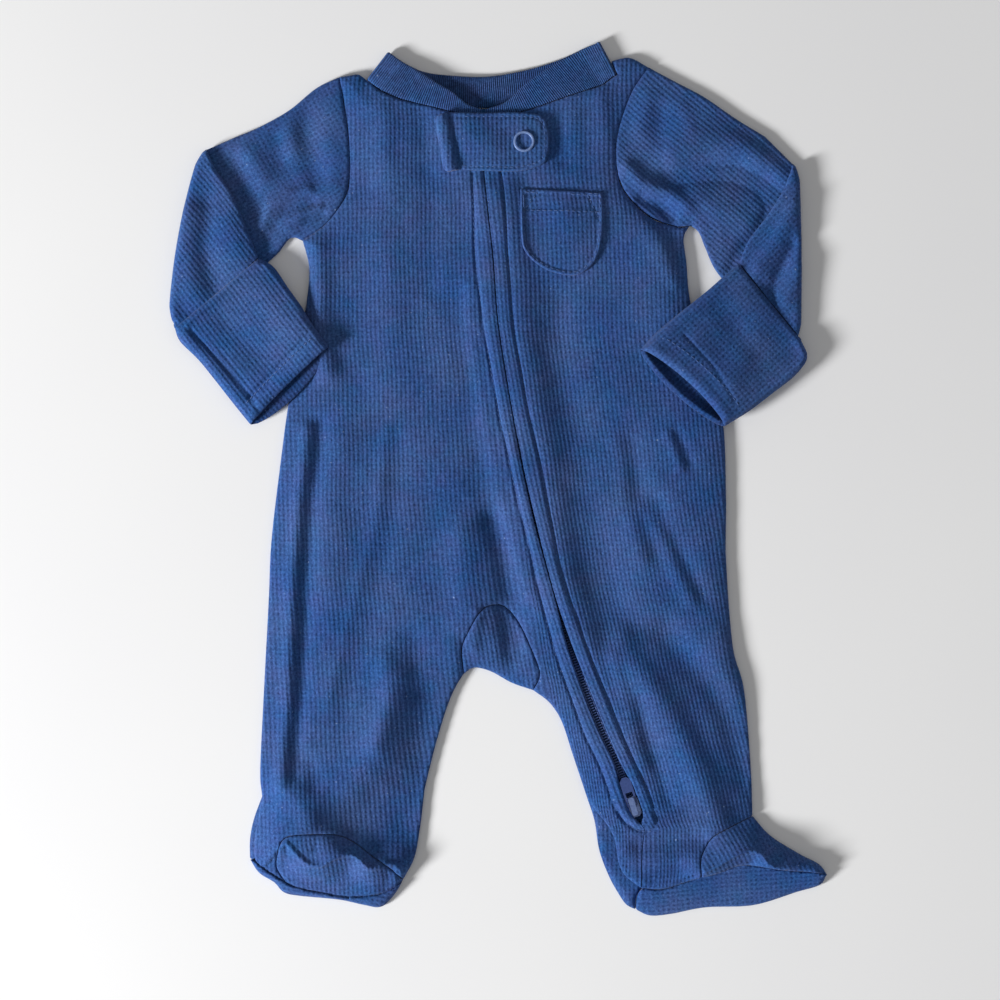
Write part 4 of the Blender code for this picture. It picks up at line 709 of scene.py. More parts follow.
def welt(points):
    """Height of the turned edges beside the zip, with the groove of their stitching."""
    x, y = points[:, 0], points[:, 1]
    centre, right, left, gap = zip_at(y)
    on_right = x < centre
    width = np.where(on_right, right, left)
    away = width - np.abs(x - centre)
    share = np.clip(away / (width - gap), 0.0, 1.0)
    dome = WELT_RISE * (np.where(on_right, *WELT_BASE)
                        + np.where(on_right, *WELT_DOME) * np.sin(math.pi * share) ** WELT_FULL)
    dome = dome * (1 + WELT_UNEVEN * np.sin(y / 4.7 + np.sign(x - centre)) * np.sin(y / 11.3))
    lift = WELT_EDGE * bell(np.abs(x - centre) - gap, WELT_EDGE_HALF)
    rise = (dome + lift) * np.clip(away / WELT_SLOPE + WELT_STEP, 0, 1)
    groove = (WELT_DIP * bell(away, WELT_DIP_HALF)
              * fade(WELT_TOP + WELT_DIP_TOP - y, WELT_DIP_FADE))
    rise = np.where(away > -WELT_SLOPE, rise, 0.0) * fade(WELT_TOP - y, WELT_FADE)
    return (rise - groove) * fade(y - ZIP_END, WELT_END)


def bank(points, line, high, behind, ahead):
    """A ridge along a line, with its own width on the line's left and right."""
    line = smooth(line, RIDGE_STEP)
    best, left = np.full(len(points), np.inf), np.zeros(len(points), dtype=bool)
    for a, b in zip(line[:-1], line[1:]):
        along = b - a
        off = points - a
        t = np.clip(off @ along / (along @ along), 0, 1)
        away = np.linalg.norm(off - t[:, None] * along, axis=1)
        nearer = away < best
        best = np.where(nearer, away, best)
        left = np.where(nearer, along[0] * off[:, 1] - along[1] * off[:, 0] > 0, left)
    return high * bell(best, np.where(left, behind, ahead))


def toes(points):
    """The wavy ridges over both feet, each with a narrow lip along it."""
    up = np.zeros(len(points))
    near = points[:, 1] < FEET_BELOW
    for line, behind, ahead in TOE_RIDGES:
        lip = TOE_LIP * bell(distance_to(points[near], smooth(line, OUTLINE_STEP)), TOE_LIP_HALF)
        up[near] += bank(points[near], line, TOE_UP, behind, ahead) + lip
    return up


def soft_max(a, b, blend=0.35):
    return 0.5 * (a + b + np.sqrt((a - b) ** 2 + blend ** 2))


def form(points):
    """Outer face of the front layer, without its knit."""
    rim = distance_to_any(points, BODY_RIM)
    ease = 1 - np.exp(-rim / EASE_REACH)
    calm = fade(np.abs(points[:, 0] - zip_centre(points[:, 1])) - TAPE_OUT, TAPE_OUT)
    calm = np.maximum(calm, fade(CALM_BELOW - points[:, 1], CALM_FADE))
    folds = crease_height(points, CREASES) + wander(points)
    folds = np.where(folds < 0, folds * calm, folds)
    top = inside(points) + WALL + (EASE + folds) * ease + welt(points)
    top = soft_max(top, np.full(len(points), WALL + LAYER_GAP + WALL))
    return top + toes(points) * (1 - np.exp(-rim / TOE_REACH))


def under(top):
    """Inner face of a layer whose outer face is given."""
    def low(points):
        return np.maximum(np.minimum(inside(points), top(points) - WALL), WALL + LAYER_GAP)
    return low


def roll_over(rim, seam):
    """The sole is flat under the foot and stands up in a roll between its rim and its seam."""
    rim_line, seam_line = smooth(rim, OUTLINE_STEP), smooth(seam, OUTLINE_STEP)
    rolled = outline(seam, flip(rim))

    def top(points):
        out, back = distance_to(points, rim_line), distance_to(points, seam_line)
        share = np.where(within(points, rolled), out / (out + back + 1e-6), 1.0)
        dome = np.clip(4 * share * (1 - share), 0, 1) ** ROLL_FULL
        up = np.where(within(points, rolled), share, 0.0)
        return WALL + ROLL_UP * dome * (1 - 0.5 * up) + ROLL_SEAM * up

    return top


# ---- Grain of the knit: (plan to grain, grain to plan, where it holds) -------------------------
def anywhere(points):
    return np.ones(len(points), dtype=bool)


def on_welt(points):
    x, y = points[:, 0], points[:, 1]
    centre, right, left, _ = zip_at(y)
    return np.abs(x - centre) < np.where(x < centre, right, left)


def off_welt(points):
    return ~on_welt(points)


def straight_grain(lean):
    """Columns that lean by an angle in degrees to the left of the garment's length."""
    c, s = math.cos(math.radians(lean)), math.sin(math.radians(lean))
    turn = np.array(((c, -s), (s, c)))
    return (lambda points: points @ turn, lambda grain: grain @ turn.T, anywhere)


def bent_grain(base, near):
    """Columns that follow a share of the zip's slope, more of it near the zip, off the welts."""
    start = float(zip_centre(np.array((GRAIN_FROM,)))[0])

    def lean(u):
        return base + near * np.exp(-np.abs(u - start) / GRAIN_REACH)

    def sway(v):
        return zip_centre(v) - start

    def to_plan(grain):
        return np.stack((grain[:, 0] + lean(grain[:, 0]) * sway(grain[:, 1]), grain[:, 1]), 1)

    def to_grain(points):
        across_zip = sway(points[:, 1])
        u = points[:, 0] - base * across_zip
        for _ in range(GRAIN_ROUNDS):
            u = points[:, 0] - lean(u) * across_zip
        return np.stack((u, points[:, 1]), 1)

    return (to_grain, to_plan, off_welt)


def welt_grain(side):
    """Columns along the zip, on its rolled edges."""
    def keep(points):
        return on_welt(points) & ((points[:, 0] - zip_centre(points[:, 1])) * side > 0)

    return (lambda points: np.stack((points[:, 0] - zip_centre(points[:, 1]), points[:, 1]), 1),
            lambda grain: np.stack((grain[:, 0] + zip_centre(grain[:, 1]), grain[:, 1]), 1), keep)


def knit_height(grain):
    """Relief of the waffle, from 0 in a cell to 1 on a rib; grain is in cells."""
    column, row = [0.5 + 0.5 * np.cos(2 * math.pi * grain[:, k]) for k in range(2)]
    return 1 - (1 - column) * (1 - 0.5 * row)


def warp(points):
    """Small sideways drift of the columns."""
    x, y = points[:, 0], points[:, 1]
    return np.stack((0.45 * np.sin(y / 19.0 + 1.1 * np.sin(x / 27.0)) + 0.2 * np.sin(y / 7.0),
                     0.35 * np.sin(x / 15.0 + 1.4 * np.sin(y / 33.0))), 1)


# ---- Meshes ------------------------------------------------------------------------------------
def field(loop, step, clear):
    """Staggered grid of points inside a loop, kept clear of its edge."""
    low, high = loop.min(axis=0), loop.max(axis=0)
    points = []
    row, y = 0, low[1] + step / 2
    while y < high[1]:
        shift = step / 2 if row % 2 else 0.0
        points.extend((x, y) for x in np.arange(low[0] + shift, high[0], step))
        y += step * ROW_SHARE
        row += 1
    points = np.array(points)
    points = points[within(points, loop)]
    return points[distance_to(points, loop, closed=True) > clear]


def nearest(points, others):
    """Distance from each point to the nearest of the others."""
    tree = KDTree(len(others))
    for i, p in enumerate(others):
        tree.insert((p[0], p[1], 0.0), i)
    tree.balance()
    return np.array([tree.find((p[0], p[1], 0.0))[2] for p in points])


def fill(loop, points, clear):
    """The points that lie inside the loop and clear of it."""
    low, high = loop.min(axis=0), loop.max(axis=0)
    points = points[np.all((points > low) & (points < high), axis=1)]
    points = points[within(points, loop)]
    return points[nearest(points, spread(loop, LOOK_STEP)) > clear]


def beside(line):
    """Rows of points along a line, for a groove or a ridge finer than the knit."""
    run = run_of(line)
    line = points_at(line, run, np.linspace(0, run[-1], max(2, round(run[-1] / BESIDE_STEP))))
    way = np.gradient(line, axis=0)
    side = left_of(way) / np.linalg.norm(way, axis=1)[:, None]
    return np.vstack([line + side * offset for offset in BESIDE])


def knit_points(loop, weave, rows):
    """Points on the rounding, on the ribs and in the cells of the knit, and on extra rows."""
    rings = [fill(loop, inset(loop, d), d * 0.75) for d in EDGE_RINGS]
    grids = []
    for to_grain, to_plan, keep in weave:
        grain = to_grain(spread(loop, GRAIN_LOOK))
        u, v = [np.arange(math.floor(a / s) - 2, math.ceil(b / s) + 3) * s for a, b, s in
                zip(grain.min(axis=0), grain.max(axis=0), (PITCH_U / CELL_PARTS, PITCH_V / CELL_PARTS))]
        grid = to_plan(np.stack([k.ravel() for k in np.meshgrid(u, v)], 1))
        aside = np.array((WELT_SPLIT, 0.0))
        grids.append(grid[keep(grid - aside) & keep(grid + aside)])
    knitted = fill(loop, np.vstack(grids), EDGE_CLEAR)
    for row in rows:
        row = fill(loop, row, EDGE_CLEAR)
        knitted = np.vstack((knitted[nearest(knitted, row) > ROW_CLEAR], row))
    return np.vstack(rings + [knitted])


def triangulate(loop, points):
    """Plan points and triangles over a loop, and where each of the loop's points went."""
    coords = [Vector(p) for p in loop] + [Vector(p) for p in points]
    out, _, faces, origin, _, _ = delaunay_2d_cdt(coords, [], [list(range(len(loop)))], 1, 1e-4)
    went = np.zeros(len(loop), dtype=int)
    for place, ids in enumerate(origin):
        for i in ids:
            if i < len(loop):
                went[i] = place
    return np.array([tuple(p) for p in out]), np.array([tuple(f) for f in faces]), went


def knit_cells(plan, faces, weave, painted_shade):
    """Grain of each corner, in cells, with its painted shade, and the knit's relief at each point."""
    # The third value of each corner is painted shade, read by the knit shader.
    cells = np.full((len(faces) * 3, 3), float(painted_shade))
    height = np.zeros(len(plan))
    middle = plan[faces].mean(axis=1)
    free = np.ones(len(faces), dtype=bool)
    for to_grain, _, keep in weave:
        mine = keep(middle) & free
        free &= ~mine
        own = to_grain(plan) / (PITCH_U, PITCH_V)
        cells[np.repeat(mine, 3), :2] = own[faces[mine].ravel()]
        held = np.unique(faces[mine])
        height[held] = knit_height(own[held])
    return cells, height


def quarter_round(away, width, fall):
    """How far a face falls at a distance from its edge, in a rounding of that width."""
    return fall * (1 - np.sqrt(1 - (1 - fade(away, width)) ** 2))


def tube_faces(count, n):
    """Quads between rings of n points each, and a cap at both ends."""
    faces = [(k * n + i, k * n + (i + 1) % n, (k + 1) * n + (i + 1) % n, (k + 1) * n + i)
             for k in range(count - 1) for i in range(n)]
    faces.append(tuple(range(n))[::-1])
    faces.append(tuple(range((count - 1) * n, count * n)))
    return faces


class Skin:
    """Points, faces and grain of one piece, in millimetres of the plan."""

    def __init__(self):
        self.points, self.faces, self.grain, self.count = [], [], [], 0

    def add(self, points, faces, grain=None):
        """Faces as places in points; grain for each corner, in cells. Returns the first place."""
        if grain is None:
            grain = np.zeros((sum(len(f) for f in faces), 3))
        self.points.append(points)
        self.faces.extend([tuple(int(i) + self.count for i in f) for f in faces])
        self.grain.append(grain)
        self.count += len(points)
        return self.count - len(points)

    def layer(self, loop, top, weave, dense=True, down=False, fall=EDGE_FALL, relief=RELIEF,
              least=None, round_at=EDGE_ROUND, painted_shade=0.0, rows=(), level=None):
        """One face of a piece over its outline. Returns where the outline's points went.

        The edge falls by fall over round_at, but not along the line level. The face stays over
        least, has extra points on rows, and is darker by the painted shade it is given.
        """
        inner = knit_points(loop, weave, rows) if dense else field(loop, BACK_STEP, BACK_STEP * 0.4)
        plan, faces, went = triangulate(loop, inner)
        z = top(plan)
        if dense or fall:
            edge = nearest(plan, spread(loop, EDGE_LOOK))
        if fall:
            if level is not None:
                edge = edge + LEVEL_LIFT * np.exp(-(distance_to(plan, level) / LEVEL_HALF) ** 4)
            z = z - quarter_round(edge, round_at, fall)
        cells, height = knit_cells(plan, faces, weave, painted_shade)
        if dense:
            shown = fade(edge - RELIEF_FROM, RELIEF_OVER) if level is None else 1.0
            z = z + relief * (height - RELIEF_MIDDLE) * shown
            plan = plan + warp(plan) * fade(edge - WARP_FROM, WARP_OVER)[:, None]
        if least is not None:
            z = np.maximum(z, least(plan) + LEAST_CLOTH)
        if down:
            faces = faces[:, ::-1]
            cells = cells.reshape(-1, 3, 3)[:, ::-1].reshape(-1, 3)
        return went + self.add(np.column_stack((plan, z)), faces, cells)

    def rim(self, upper, lower, loop):
        """Wall between two faces of the same outline."""
        cells = np.column_stack((loop / (PITCH_U, PITCH_V), np.zeros(len(loop))))
        for i in range(len(loop)):
            j = (i + 1) % len(loop)
            corners = {}
            for place, at in ((upper[i], i), (lower[i], i), (lower[j], j), (upper[j], j)):
                corners.setdefault(int(place), at)
            if len(corners) > 2:
                self.faces.append(tuple(corners))
                self.grain.append(cells[list(corners.values())])

    def build(self, name, material):
        """The mesh object, smooth, with its grain and painted shade on the corners."""
        mesh = bpy.data.meshes.new(name)
        points = (np.vstack(self.points) - (*CENTRE, 0.0)) * MM
        mesh.from_pydata([tuple(p) for p in points], [], self.faces)
        mesh.attributes.new("grain", 'FLOAT_VECTOR', 'CORNER')
        cells = np.vstack(self.grain).astype(np.float32)
        mesh.attributes["grain"].data.foreach_set("vector", cells.ravel())
        mesh.polygons.foreach_set("use_smooth", [True] * len(mesh.polygons))
        mesh.materials.append(material)
        obj = bpy.data.objects.new(name, mesh)
        bpy.context.scene.collection.objects.link(obj)
        return obj


def panel(name, loop, top, low, weave, material, **how):
    """A closed shell: knitted outer face, plain inner face and the edge between them."""
    skin = Skin()
    loop = turned_left(spread(inset(loop, SEAM / 2), EDGE_STEP))
    upper = skin.layer(loop, top, weave, least=low, **how)
    lower = skin.layer(loop, low, weave, dense=False, down=True, fall=0.0)
    skin.rim(upper, lower, loop)
    return skin.build(name, material)


def wear(obj, slot, *nodes):
    """The piece rides with the garment and takes the place of its nodes."""
    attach(obj, "garment")
    if nodes:
        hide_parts(*nodes)


def lay(obj, node, slot):
    """The piece takes its node's place and rides with the garment."""
    wear(obj, slot, node)


# ---- Shaders; noises are given by scale, detail and roughness ----------------------------------
def linear(red, green, blue):
    """A colour given in screen values from 0 to 255, as the shader wants it."""
    out = []
    for value in (red, green, blue):
        v = value / 255.0
        out.append(v / 12.92 if v <= 0.04045 else ((v + 0.055) / 1.055) ** 2.4)
    return (*out, 1.0)


class Graph:
    """Short hand for a material's nodes."""

    def __init__(self, name):
        self.material = bpy.data.materials.new(name)
        self.material.use_nodes = True
        self.tree = self.material.node_tree
        self.shader = self.tree.nodes["Principled BSDF"]

    def node(self, kind, **values):
        made = self.tree.nodes.new(kind)
        for key, value in values.items():
            setattr(made, key, value)
        return made

    def join(self, source, target):
        self.tree.links.new(source, target)

    def math(self, kind, *values):
        made = self.node("ShaderNodeMath", operation=kind)
        for socket, value in zip(made.inputs, values):
            if isinstance(value, (int, float)):
                socket.default_value = value
            else:
                self.join(value, socket)
        return made.outputs[0]

    def noise(self, vector, scale, detail=2.0, rough=0.55):
        made = self.node("ShaderNodeTexNoise")
        made.inputs["Scale"].default_value = scale
        made.inputs["Detail"].default_value = detail
        made.inputs["Roughness"].default_value = rough
        self.join(vector, made.inputs["Vector"])
        return made.outputs["Fac"]

    def ramp(self, value, stops):
        made = self.node("ShaderNodeValToRGB")
        line = made.color_ramp
        while len(line.elements) < len(stops):
            line.elements.new(0.5)
        for element, (at, colour) in zip(line.elements, stops):
            element.position = at
            element.color = linear(*colour)
        self.join(value, made.inputs["Fac"])
        return made.outputs["Color"]

    def place(self):
        return self.node("ShaderNodeTexCoord").outputs["Object"]

    def finish(self, rough, metal=0.0, sheen=0.0, bump=None, depth=0.0003, strength=0.6):
        self.shader.inputs["Roughness"].default_value = rough
        self.shader.inputs["Metallic"].default_value = metal
        self.shader.inputs["Sheen Weight"].default_value = sheen
        self.shader.inputs["Sheen Roughness"].default_value = 0.45
        self.shader.inputs["Specular IOR Level"].default_value = 0.5 if metal else 0.2
        if bump is not None:
            made = self.node("ShaderNodeBump")
            made.inputs["Strength"].default_value = strength
            made.inputs["Distance"].default_value = depth
            self.join(bump, made.inputs["Height"])
            self.join(made.outputs["Normal"], self.shader.inputs["Normal"])
        return self.material


SWAY = (260.0, 2.0, 0.55)       # how the rows of cells wander
PITS = (330.0, 1.0, 0.55)       # how deep each cell looks
YARN = (2300.0, 2.0, 0.7)       # fibres
STRAND = (900.0, 3.0, 0.6)      # strands of the yarn
CLOUD = (38.0, 3.0, 0.6)        # slow changes of tone
SPECK = (620.0, 1.0, 0.5)       # pale specks of heather
KNIT_TONES = ((0.0, (16, 36, 79)), (0.25, (31, 57, 107)), (0.5, (48, 80, 138)),
              (0.75, (67, 105, 169)), (1.0, (93, 134, 199)))
WELT_TONES = ((0.0, (19, 40, 81)), (0.3, (35, 61, 109)), (0.5, (49, 81, 137)),
              (0.75, (65, 102, 163)), (1.0, (87, 128, 189)))
SPECK_TONE = (118, 140, 184)


def knit(name, pit_shade=0.5, rows=0.6, tones=KNIT_TONES):
    """Heathered waffle or rib knit; the first keyword is how strongly painted shade in the cells' pits
    shows in the colour.
    """
    g = Graph(name)
    place = g.place()
    grain = g.node("ShaderNodeAttribute", attribute_name="grain").outputs["Vector"]
    split = g.node("ShaderNodeSeparateXYZ")
    g.join(grain, split.inputs["Vector"])
    sway = g.math('MULTIPLY_ADD', g.noise(place, *SWAY), 0.34, -0.17)
    waves = []
    for axis, drift in (("X", sway), ("Y", g.math('MULTIPLY', sway, -0.8))):
        turn = g.math('MULTIPLY', g.math('ADD', split.outputs[axis], drift), 2 * math.pi)
        waves.append(g.math('MULTIPLY_ADD', g.math('COSINE', turn), -0.5, 0.5))
    row = g.math('MULTIPLY_ADD', waves[1], rows, 1 - rows)
    pit = g.math('MULTIPLY_ADD', g.noise(place, *PITS), 1.5, 0.2)
    height = g.math('SUBTRACT', 1.0, g.math('MULTIPLY', g.math('MULTIPLY', waves[0], row), pit))
    yarn = g.noise(place, *YARN)
    strand = g.noise(place, *STRAND)
    cloud = g.noise(place, *CLOUD)
    # Painted shade in the cells' pits: the knit's relief darkens the colour.
    value = g.math('MULTIPLY_ADD', height, pit_shade, 0.5 - 0.62 * pit_shade)
    # Painted shade: the grain's third value darkens the colour.
    value = g.math('MULTIPLY_ADD', split.outputs["Z"], -0.27, value)
    for wave, share in ((yarn, 0.6), (strand, 0.9), (cloud, 0.25)):
        value = g.math('ADD', value, g.math('MULTIPLY_ADD', wave, share, -share / 2))
    colour = g.ramp(value, tones)
    speck = g.noise(place, *SPECK)
    spot = g.ramp(speck, ((0.0, (0, 0, 0)), (0.775, (0, 0, 0)), (0.80, (255, 255, 255))))
    mix = g.node("ShaderNodeMix", data_type='RGBA')
    g.join(spot, mix.inputs["Factor"])
    g.join(colour, mix.inputs["A"])
    mix.inputs["B"].default_value = linear(*SPECK_TONE)
    heather = g.node("ShaderNodeHueSaturation")
    for socket, scale, share, start in (("Hue", 90.0, 0.03, 0.485),
                                        ("Saturation", 45.0, -0.3, 1.15)):
        g.join(g.math('MULTIPLY_ADD', g.noise(place, scale, 3.0, 0.6), share, start),
               heather.inputs[socket])
    g.join(mix.outputs["Result"], heather.inputs["Color"])
    g.join(heather.outputs["Color"], g.shader.inputs["Base Color"])
    bump = g.math('MULTIPLY_ADD', yarn, 0.35, g.math('MULTIPLY_ADD', strand, 0.5, height))
    return g.finish(0.92, sheen=0.12, bump=bump)


def plain(name, dark, light, rough, scale, metal=0.0, sheen=0.0):
    """A plain finish with a little unevenness."""
    g = Graph(name)
    cloud = g.noise(g.place(), scale, 3.0, 0.6)
    g.join(g.ramp(cloud, ((0.3, dark), (0.7, light))), g.shader.inputs["Base Color"])
    return g.finish(rough, metal, sheen, bump=cloud, depth=0.0001, strength=0.5)


waffle = knit("waffle_knit", pit_shade=0.15)
smooth_knit = knit("turned_knit", pit_shade=0.22, tones=WELT_TONES)
ribbed = knit("rib_knit", rows=0.0, tones=WELT_TONES)
thread = plain("stitch_thread", (48, 74, 128), (86, 118, 176), 0.75, 2500.0, sheen=0.3)
tape_cloth = plain("tape_cloth", (20, 32, 60), (38, 56, 94), 0.9, 2200.0, sheen=0.2)
coil_finish = plain("coil_finish", (62, 82, 134), (92, 114, 168), 0.4, 900.0)
metal_finish = plain("painted_metal", (96, 118, 172), (124, 146, 196), 0.25, 800.0, metal=0.4)
pull_finish = plain("painted_pull", (48, 68, 124), (62, 84, 144), 0.35, 800.0, metal=0.1)
snap_finish = plain("snap_metal", (104, 132, 190), (140, 166, 214), 0.25, 700.0, metal=0.35)


# ---- Body --------------------------------------------------------------------------------------
def neck_edge(rows, start, end):
    """Lower edge of the neckband as an edge of the body, between its end points."""
    return (tuple(start), *(tuple(row[:2]) for row in rows), tuple(end))


def body():
    neck = neck_edge(BAND_FRONT_R, zip_edge(-1)[0], BAND_FOLD_R[:2])
    right = outline(neck, (BAND_FOLD_R[:2], NECK_END_R), SHOULDER_R, ARMHOLE_R, SIDE_R,
                    ANKLE_SEAM_R, FRONT_SOLE_R, VAMP_SIDE_R, VAMP_ARC_R, FOOT_R_INNER, INNER_R,
                    GUSSET_ARC, INNER_L, ANKLE_SEAM_L, flip(SHIN_SEAM_L), zip_edge(-1)[::-1])
    neck = neck_edge(flip(BAND_FRONT_L), zip_edge(1)[0], BAND_FOLD_L[:2])
    left = outline(neck, (BAND_FOLD_L[:2], NECK_END_L), (NECK_END_L, SHOULDER_L[0]), SHOULDER_L,
                   ARMHOLE_L, SIDE_L, flip(VAMP_ARC_L), flip(FRONT_SOLE_L), flip(SHIN_SEAM_L),
                   zip_edge(1)[::-1])
    for name, side, loop, base, near in (("front_right", -1, right, 0.1, 0.45),
                                         ("front_left", 1, left, 0.5, 0.3)):
        made = panel("knit_" + name, loop, form, under(form),
                     [welt_grain(side), bent_grain(base, near)], waffle,
                     rows=[beside(sewn_line(side)[:-6]), beside(smooth(ZIP_FOOT, SEAM_STEP))],
                     level=smooth(SHIN_SEAM_L, OUTLINE_STEP))
        lay(made, name, "waffle")

    neck = neck_edge(flip(BAND_BACK), BAND_FOLD_L[:2], BAND_FOLD_R[:2])
    loop = outline(flip(neck), (BAND_FOLD_L[:2], NECK_END_L), (NECK_END_L, SHOULDER_L[0]),
                   SHOULDER_L, ARMHOLE_L, SIDE_L, flip(HEEL_L), flip(HEEL_EDGE_L), flip(INNER_L),
                   flip(CROTCH), flip(INNER_R), flip(FOOT_R_INNER)[:3], flip(HEEL_R),
                   flip(FOOT_R_SIDE), flip(SIDE_R), flip(ARMHOLE_R), flip(SHOULDER_R),
                   (NECK_END_R, BAND_FOLD_R[:2]))
    made = panel("knit_back", loop, flat(WALL), flat(0.0), [straight_grain(0.0)], waffle,
                 dense=False, fall=0.3)
    lay(made, "back", "waffle")

    loop = outline(GUSSET_ARC, flip(CROTCH))
    made = panel("knit_gusset", loop, form, under(form), [straight_grain(10.0)], waffle)
    lay(made, "crotch_gusset", "waffle")


# ---- Feet --------------------------------------------------------------------------------------
def feet():
    right = outline(VAMP_ARC_R, flip(VAMP_SOLE_R), VAMP_SIDE_R)
    left = outline(VAMP_SOLE_L, TOE_L_RIM, flip(VAMP_ARC_L))
    for side, loop, lean, ridge in (("right", right, 6.0, TOE_RIDGE_R),
                                    ("left", left, 28.0, TOE_RIDGE_L)):
        made = panel("knit_vamp_" + side, loop, form, under(form), [straight_grain(lean)], waffle,
                     rows=[beside(smooth(ridge, SEAM_STEP))])
        lay(made, "vamp_" + side, "waffle")
    for side, unders, rim, seam, lean in (
            ("right", (HEEL_R,), FOOT_R_TOE, FRONT_SOLE_R + VAMP_SOLE_R[1:], 80.0),
            ("left", (HEEL_L, flip(TOE_L_RIM)), FOOT_L_RIM, FRONT_SOLE_L + VAMP_SOLE_L[1:],
             95.0)):
        loop = outline(*unders, flip(rim))
        made = panel("sole_roll_" + side, loop, roll_over(rim, seam), flat(0.0),
                     [straight_grain(lean)], waffle, fall=0.6)
        lay(made, "sole_" + side, "waffle")


# ---- Sleeves -----------------------------------------------------------------------------------
def rounding(points, lines, radius):
    """How far a face falls towards the given lines, a quarter turn of that radius."""
    away = distance_to_any(points, lines)
    return radius - np.sqrt(radius ** 2 - (radius - np.minimum(away, radius)) ** 2)


def dressed_sleeve(side, arm_rows, armhole, elbow, fore_rows, out_side, creases, fore_creases,
                   leans):
    """Upper arm below, folded over at the elbow, with the forearm lying on it."""
    half = SLEEVE_HEIGHT / 2
    pivot = SLEEVE_HEIGHT + TUCK / 2
    rows = smooth(arm_rows, ARM_STEP)
    start = armhole_line(rows[0], armhole)
    way = np.gradient(start, axis=0)
    aside = out_side * left_of(way)
    start = start - ARM_UNDER * aside / np.linalg.norm(way, axis=1)[:, None]
    fold = across(straight_line(elbow[:2], elbow[2:4], elbow[4]), np.linspace(0, 1, ELBOW_POINTS))
    along = fold[-1] - fold[0]
    out = out_side * left_of(along) / np.linalg.norm(along)
    run = np.linalg.norm(fold - fold[0], axis=1)
    taper = np.sqrt(fade(np.minimum(run, run[-1] - run), ELBOW_TAPER))
    edge = fold + out * (pivot * taper)[:, None]
    sides = [np.vstack((rows[:, :2], fold[:1])), np.vstack((rows[:, 2:4], fold[-1:]))]
    arm_loop = np.vstack((start, sides[1][1:-1], edge[::-1], sides[0][1:-1][::-1]))
    fore = smooth(fore_rows, ARM_STEP)
    fore_sides = [np.vstack((fold[:1], fore[:, :2])), np.vstack((fold[-1:], fore[:, 2:4]))]
    fore_loop = np.vstack((edge, fore_sides[1][1:], fore_sides[0][1:][::-1]))

    def arm_top(points):
        away = distance_to_any(points, sides)
        soft = ARM_LIFT + crease_height(points, creases) + wander(points)
        soft = np.maximum(soft * (1 - bell(away, ARM_REACH)), ARM_SINK)
        seam = quarter_round(distance_to(points, start), EDGE_ROUND, EDGE_FALL)
        return SLEEVE_HEIGHT - rounding(points, sides, half) + soft - seam

    def turn(points):
        return rounding(points, [edge], pivot)

    def arm_low(points):
        return np.maximum(rounding(points, sides, half), turn(points))

    def fore_top(points):
        away = distance_to_any(points, fore_sides)
        soft = crease_height(points, fore_creases) + FORE_WANDER * wander(points)
        soft *= 1 - bell(away, FORE_REACH)
        return 2 * pivot - np.maximum(rounding(points, fore_sides, half), turn(points)) + soft

    def fore_low(points):
        return np.minimum(pivot + TUCK / 2 + rounding(points, fore_sides, half),
                          fore_top(points))

    skin = Skin()
    for loop, top, low, lean in ((arm_loop, arm_top, arm_low, leans[0]),
                                 (fore_loop, fore_top, fore_low, leans[1])):
        loop, weave = turned_left(spread(loop, EDGE_STEP)), [straight_grain(lean)]
        skin.layer(loop, top, weave, fall=0.0)
        skin.layer(loop, low, weave, dense=False, down=True, fall=0.0)
    made = skin.build("knit_sleeve_" + side, waffle)
    lay(made, "sleeve_" + side, "waffle")


def ruled(points, rows):
    """Rows between which each point lies, blended, and its share of the way across."""
    a, b = rows[:, :2], rows[:, 2:4]
    normal = left_of(b - a)
    normal /= np.linalg.norm(normal, axis=1)[:, None]
    way = (a + b)[-1] - (a + b)[0]
    normal *= np.sign(normal @ way)[:, None]
    beyond = np.einsum('kpd,kd->kp', points[None] - a[:, None], normal)
    k = np.clip((beyond > 0).sum(axis=0) - 1, 0, len(rows) - 2)
    at = np.arange(len(points))
    first, second = beyond[k, at], beyond[k + 1, at]
    t = np.clip(first / np.where(np.abs(first - second) < TINY, TINY, first - second), 0, 1)
    mixed = rows[k] * (1 - t)[:, None] + rows[k + 1] * t[:, None]
    span = mixed[:, 2:4] - mixed[:, :2]
    share = np.clip(np.sum((points - mixed[:, :2]) * span, axis=1) / np.sum(span ** 2, axis=1),
                    0, 1)
    return mixed, share


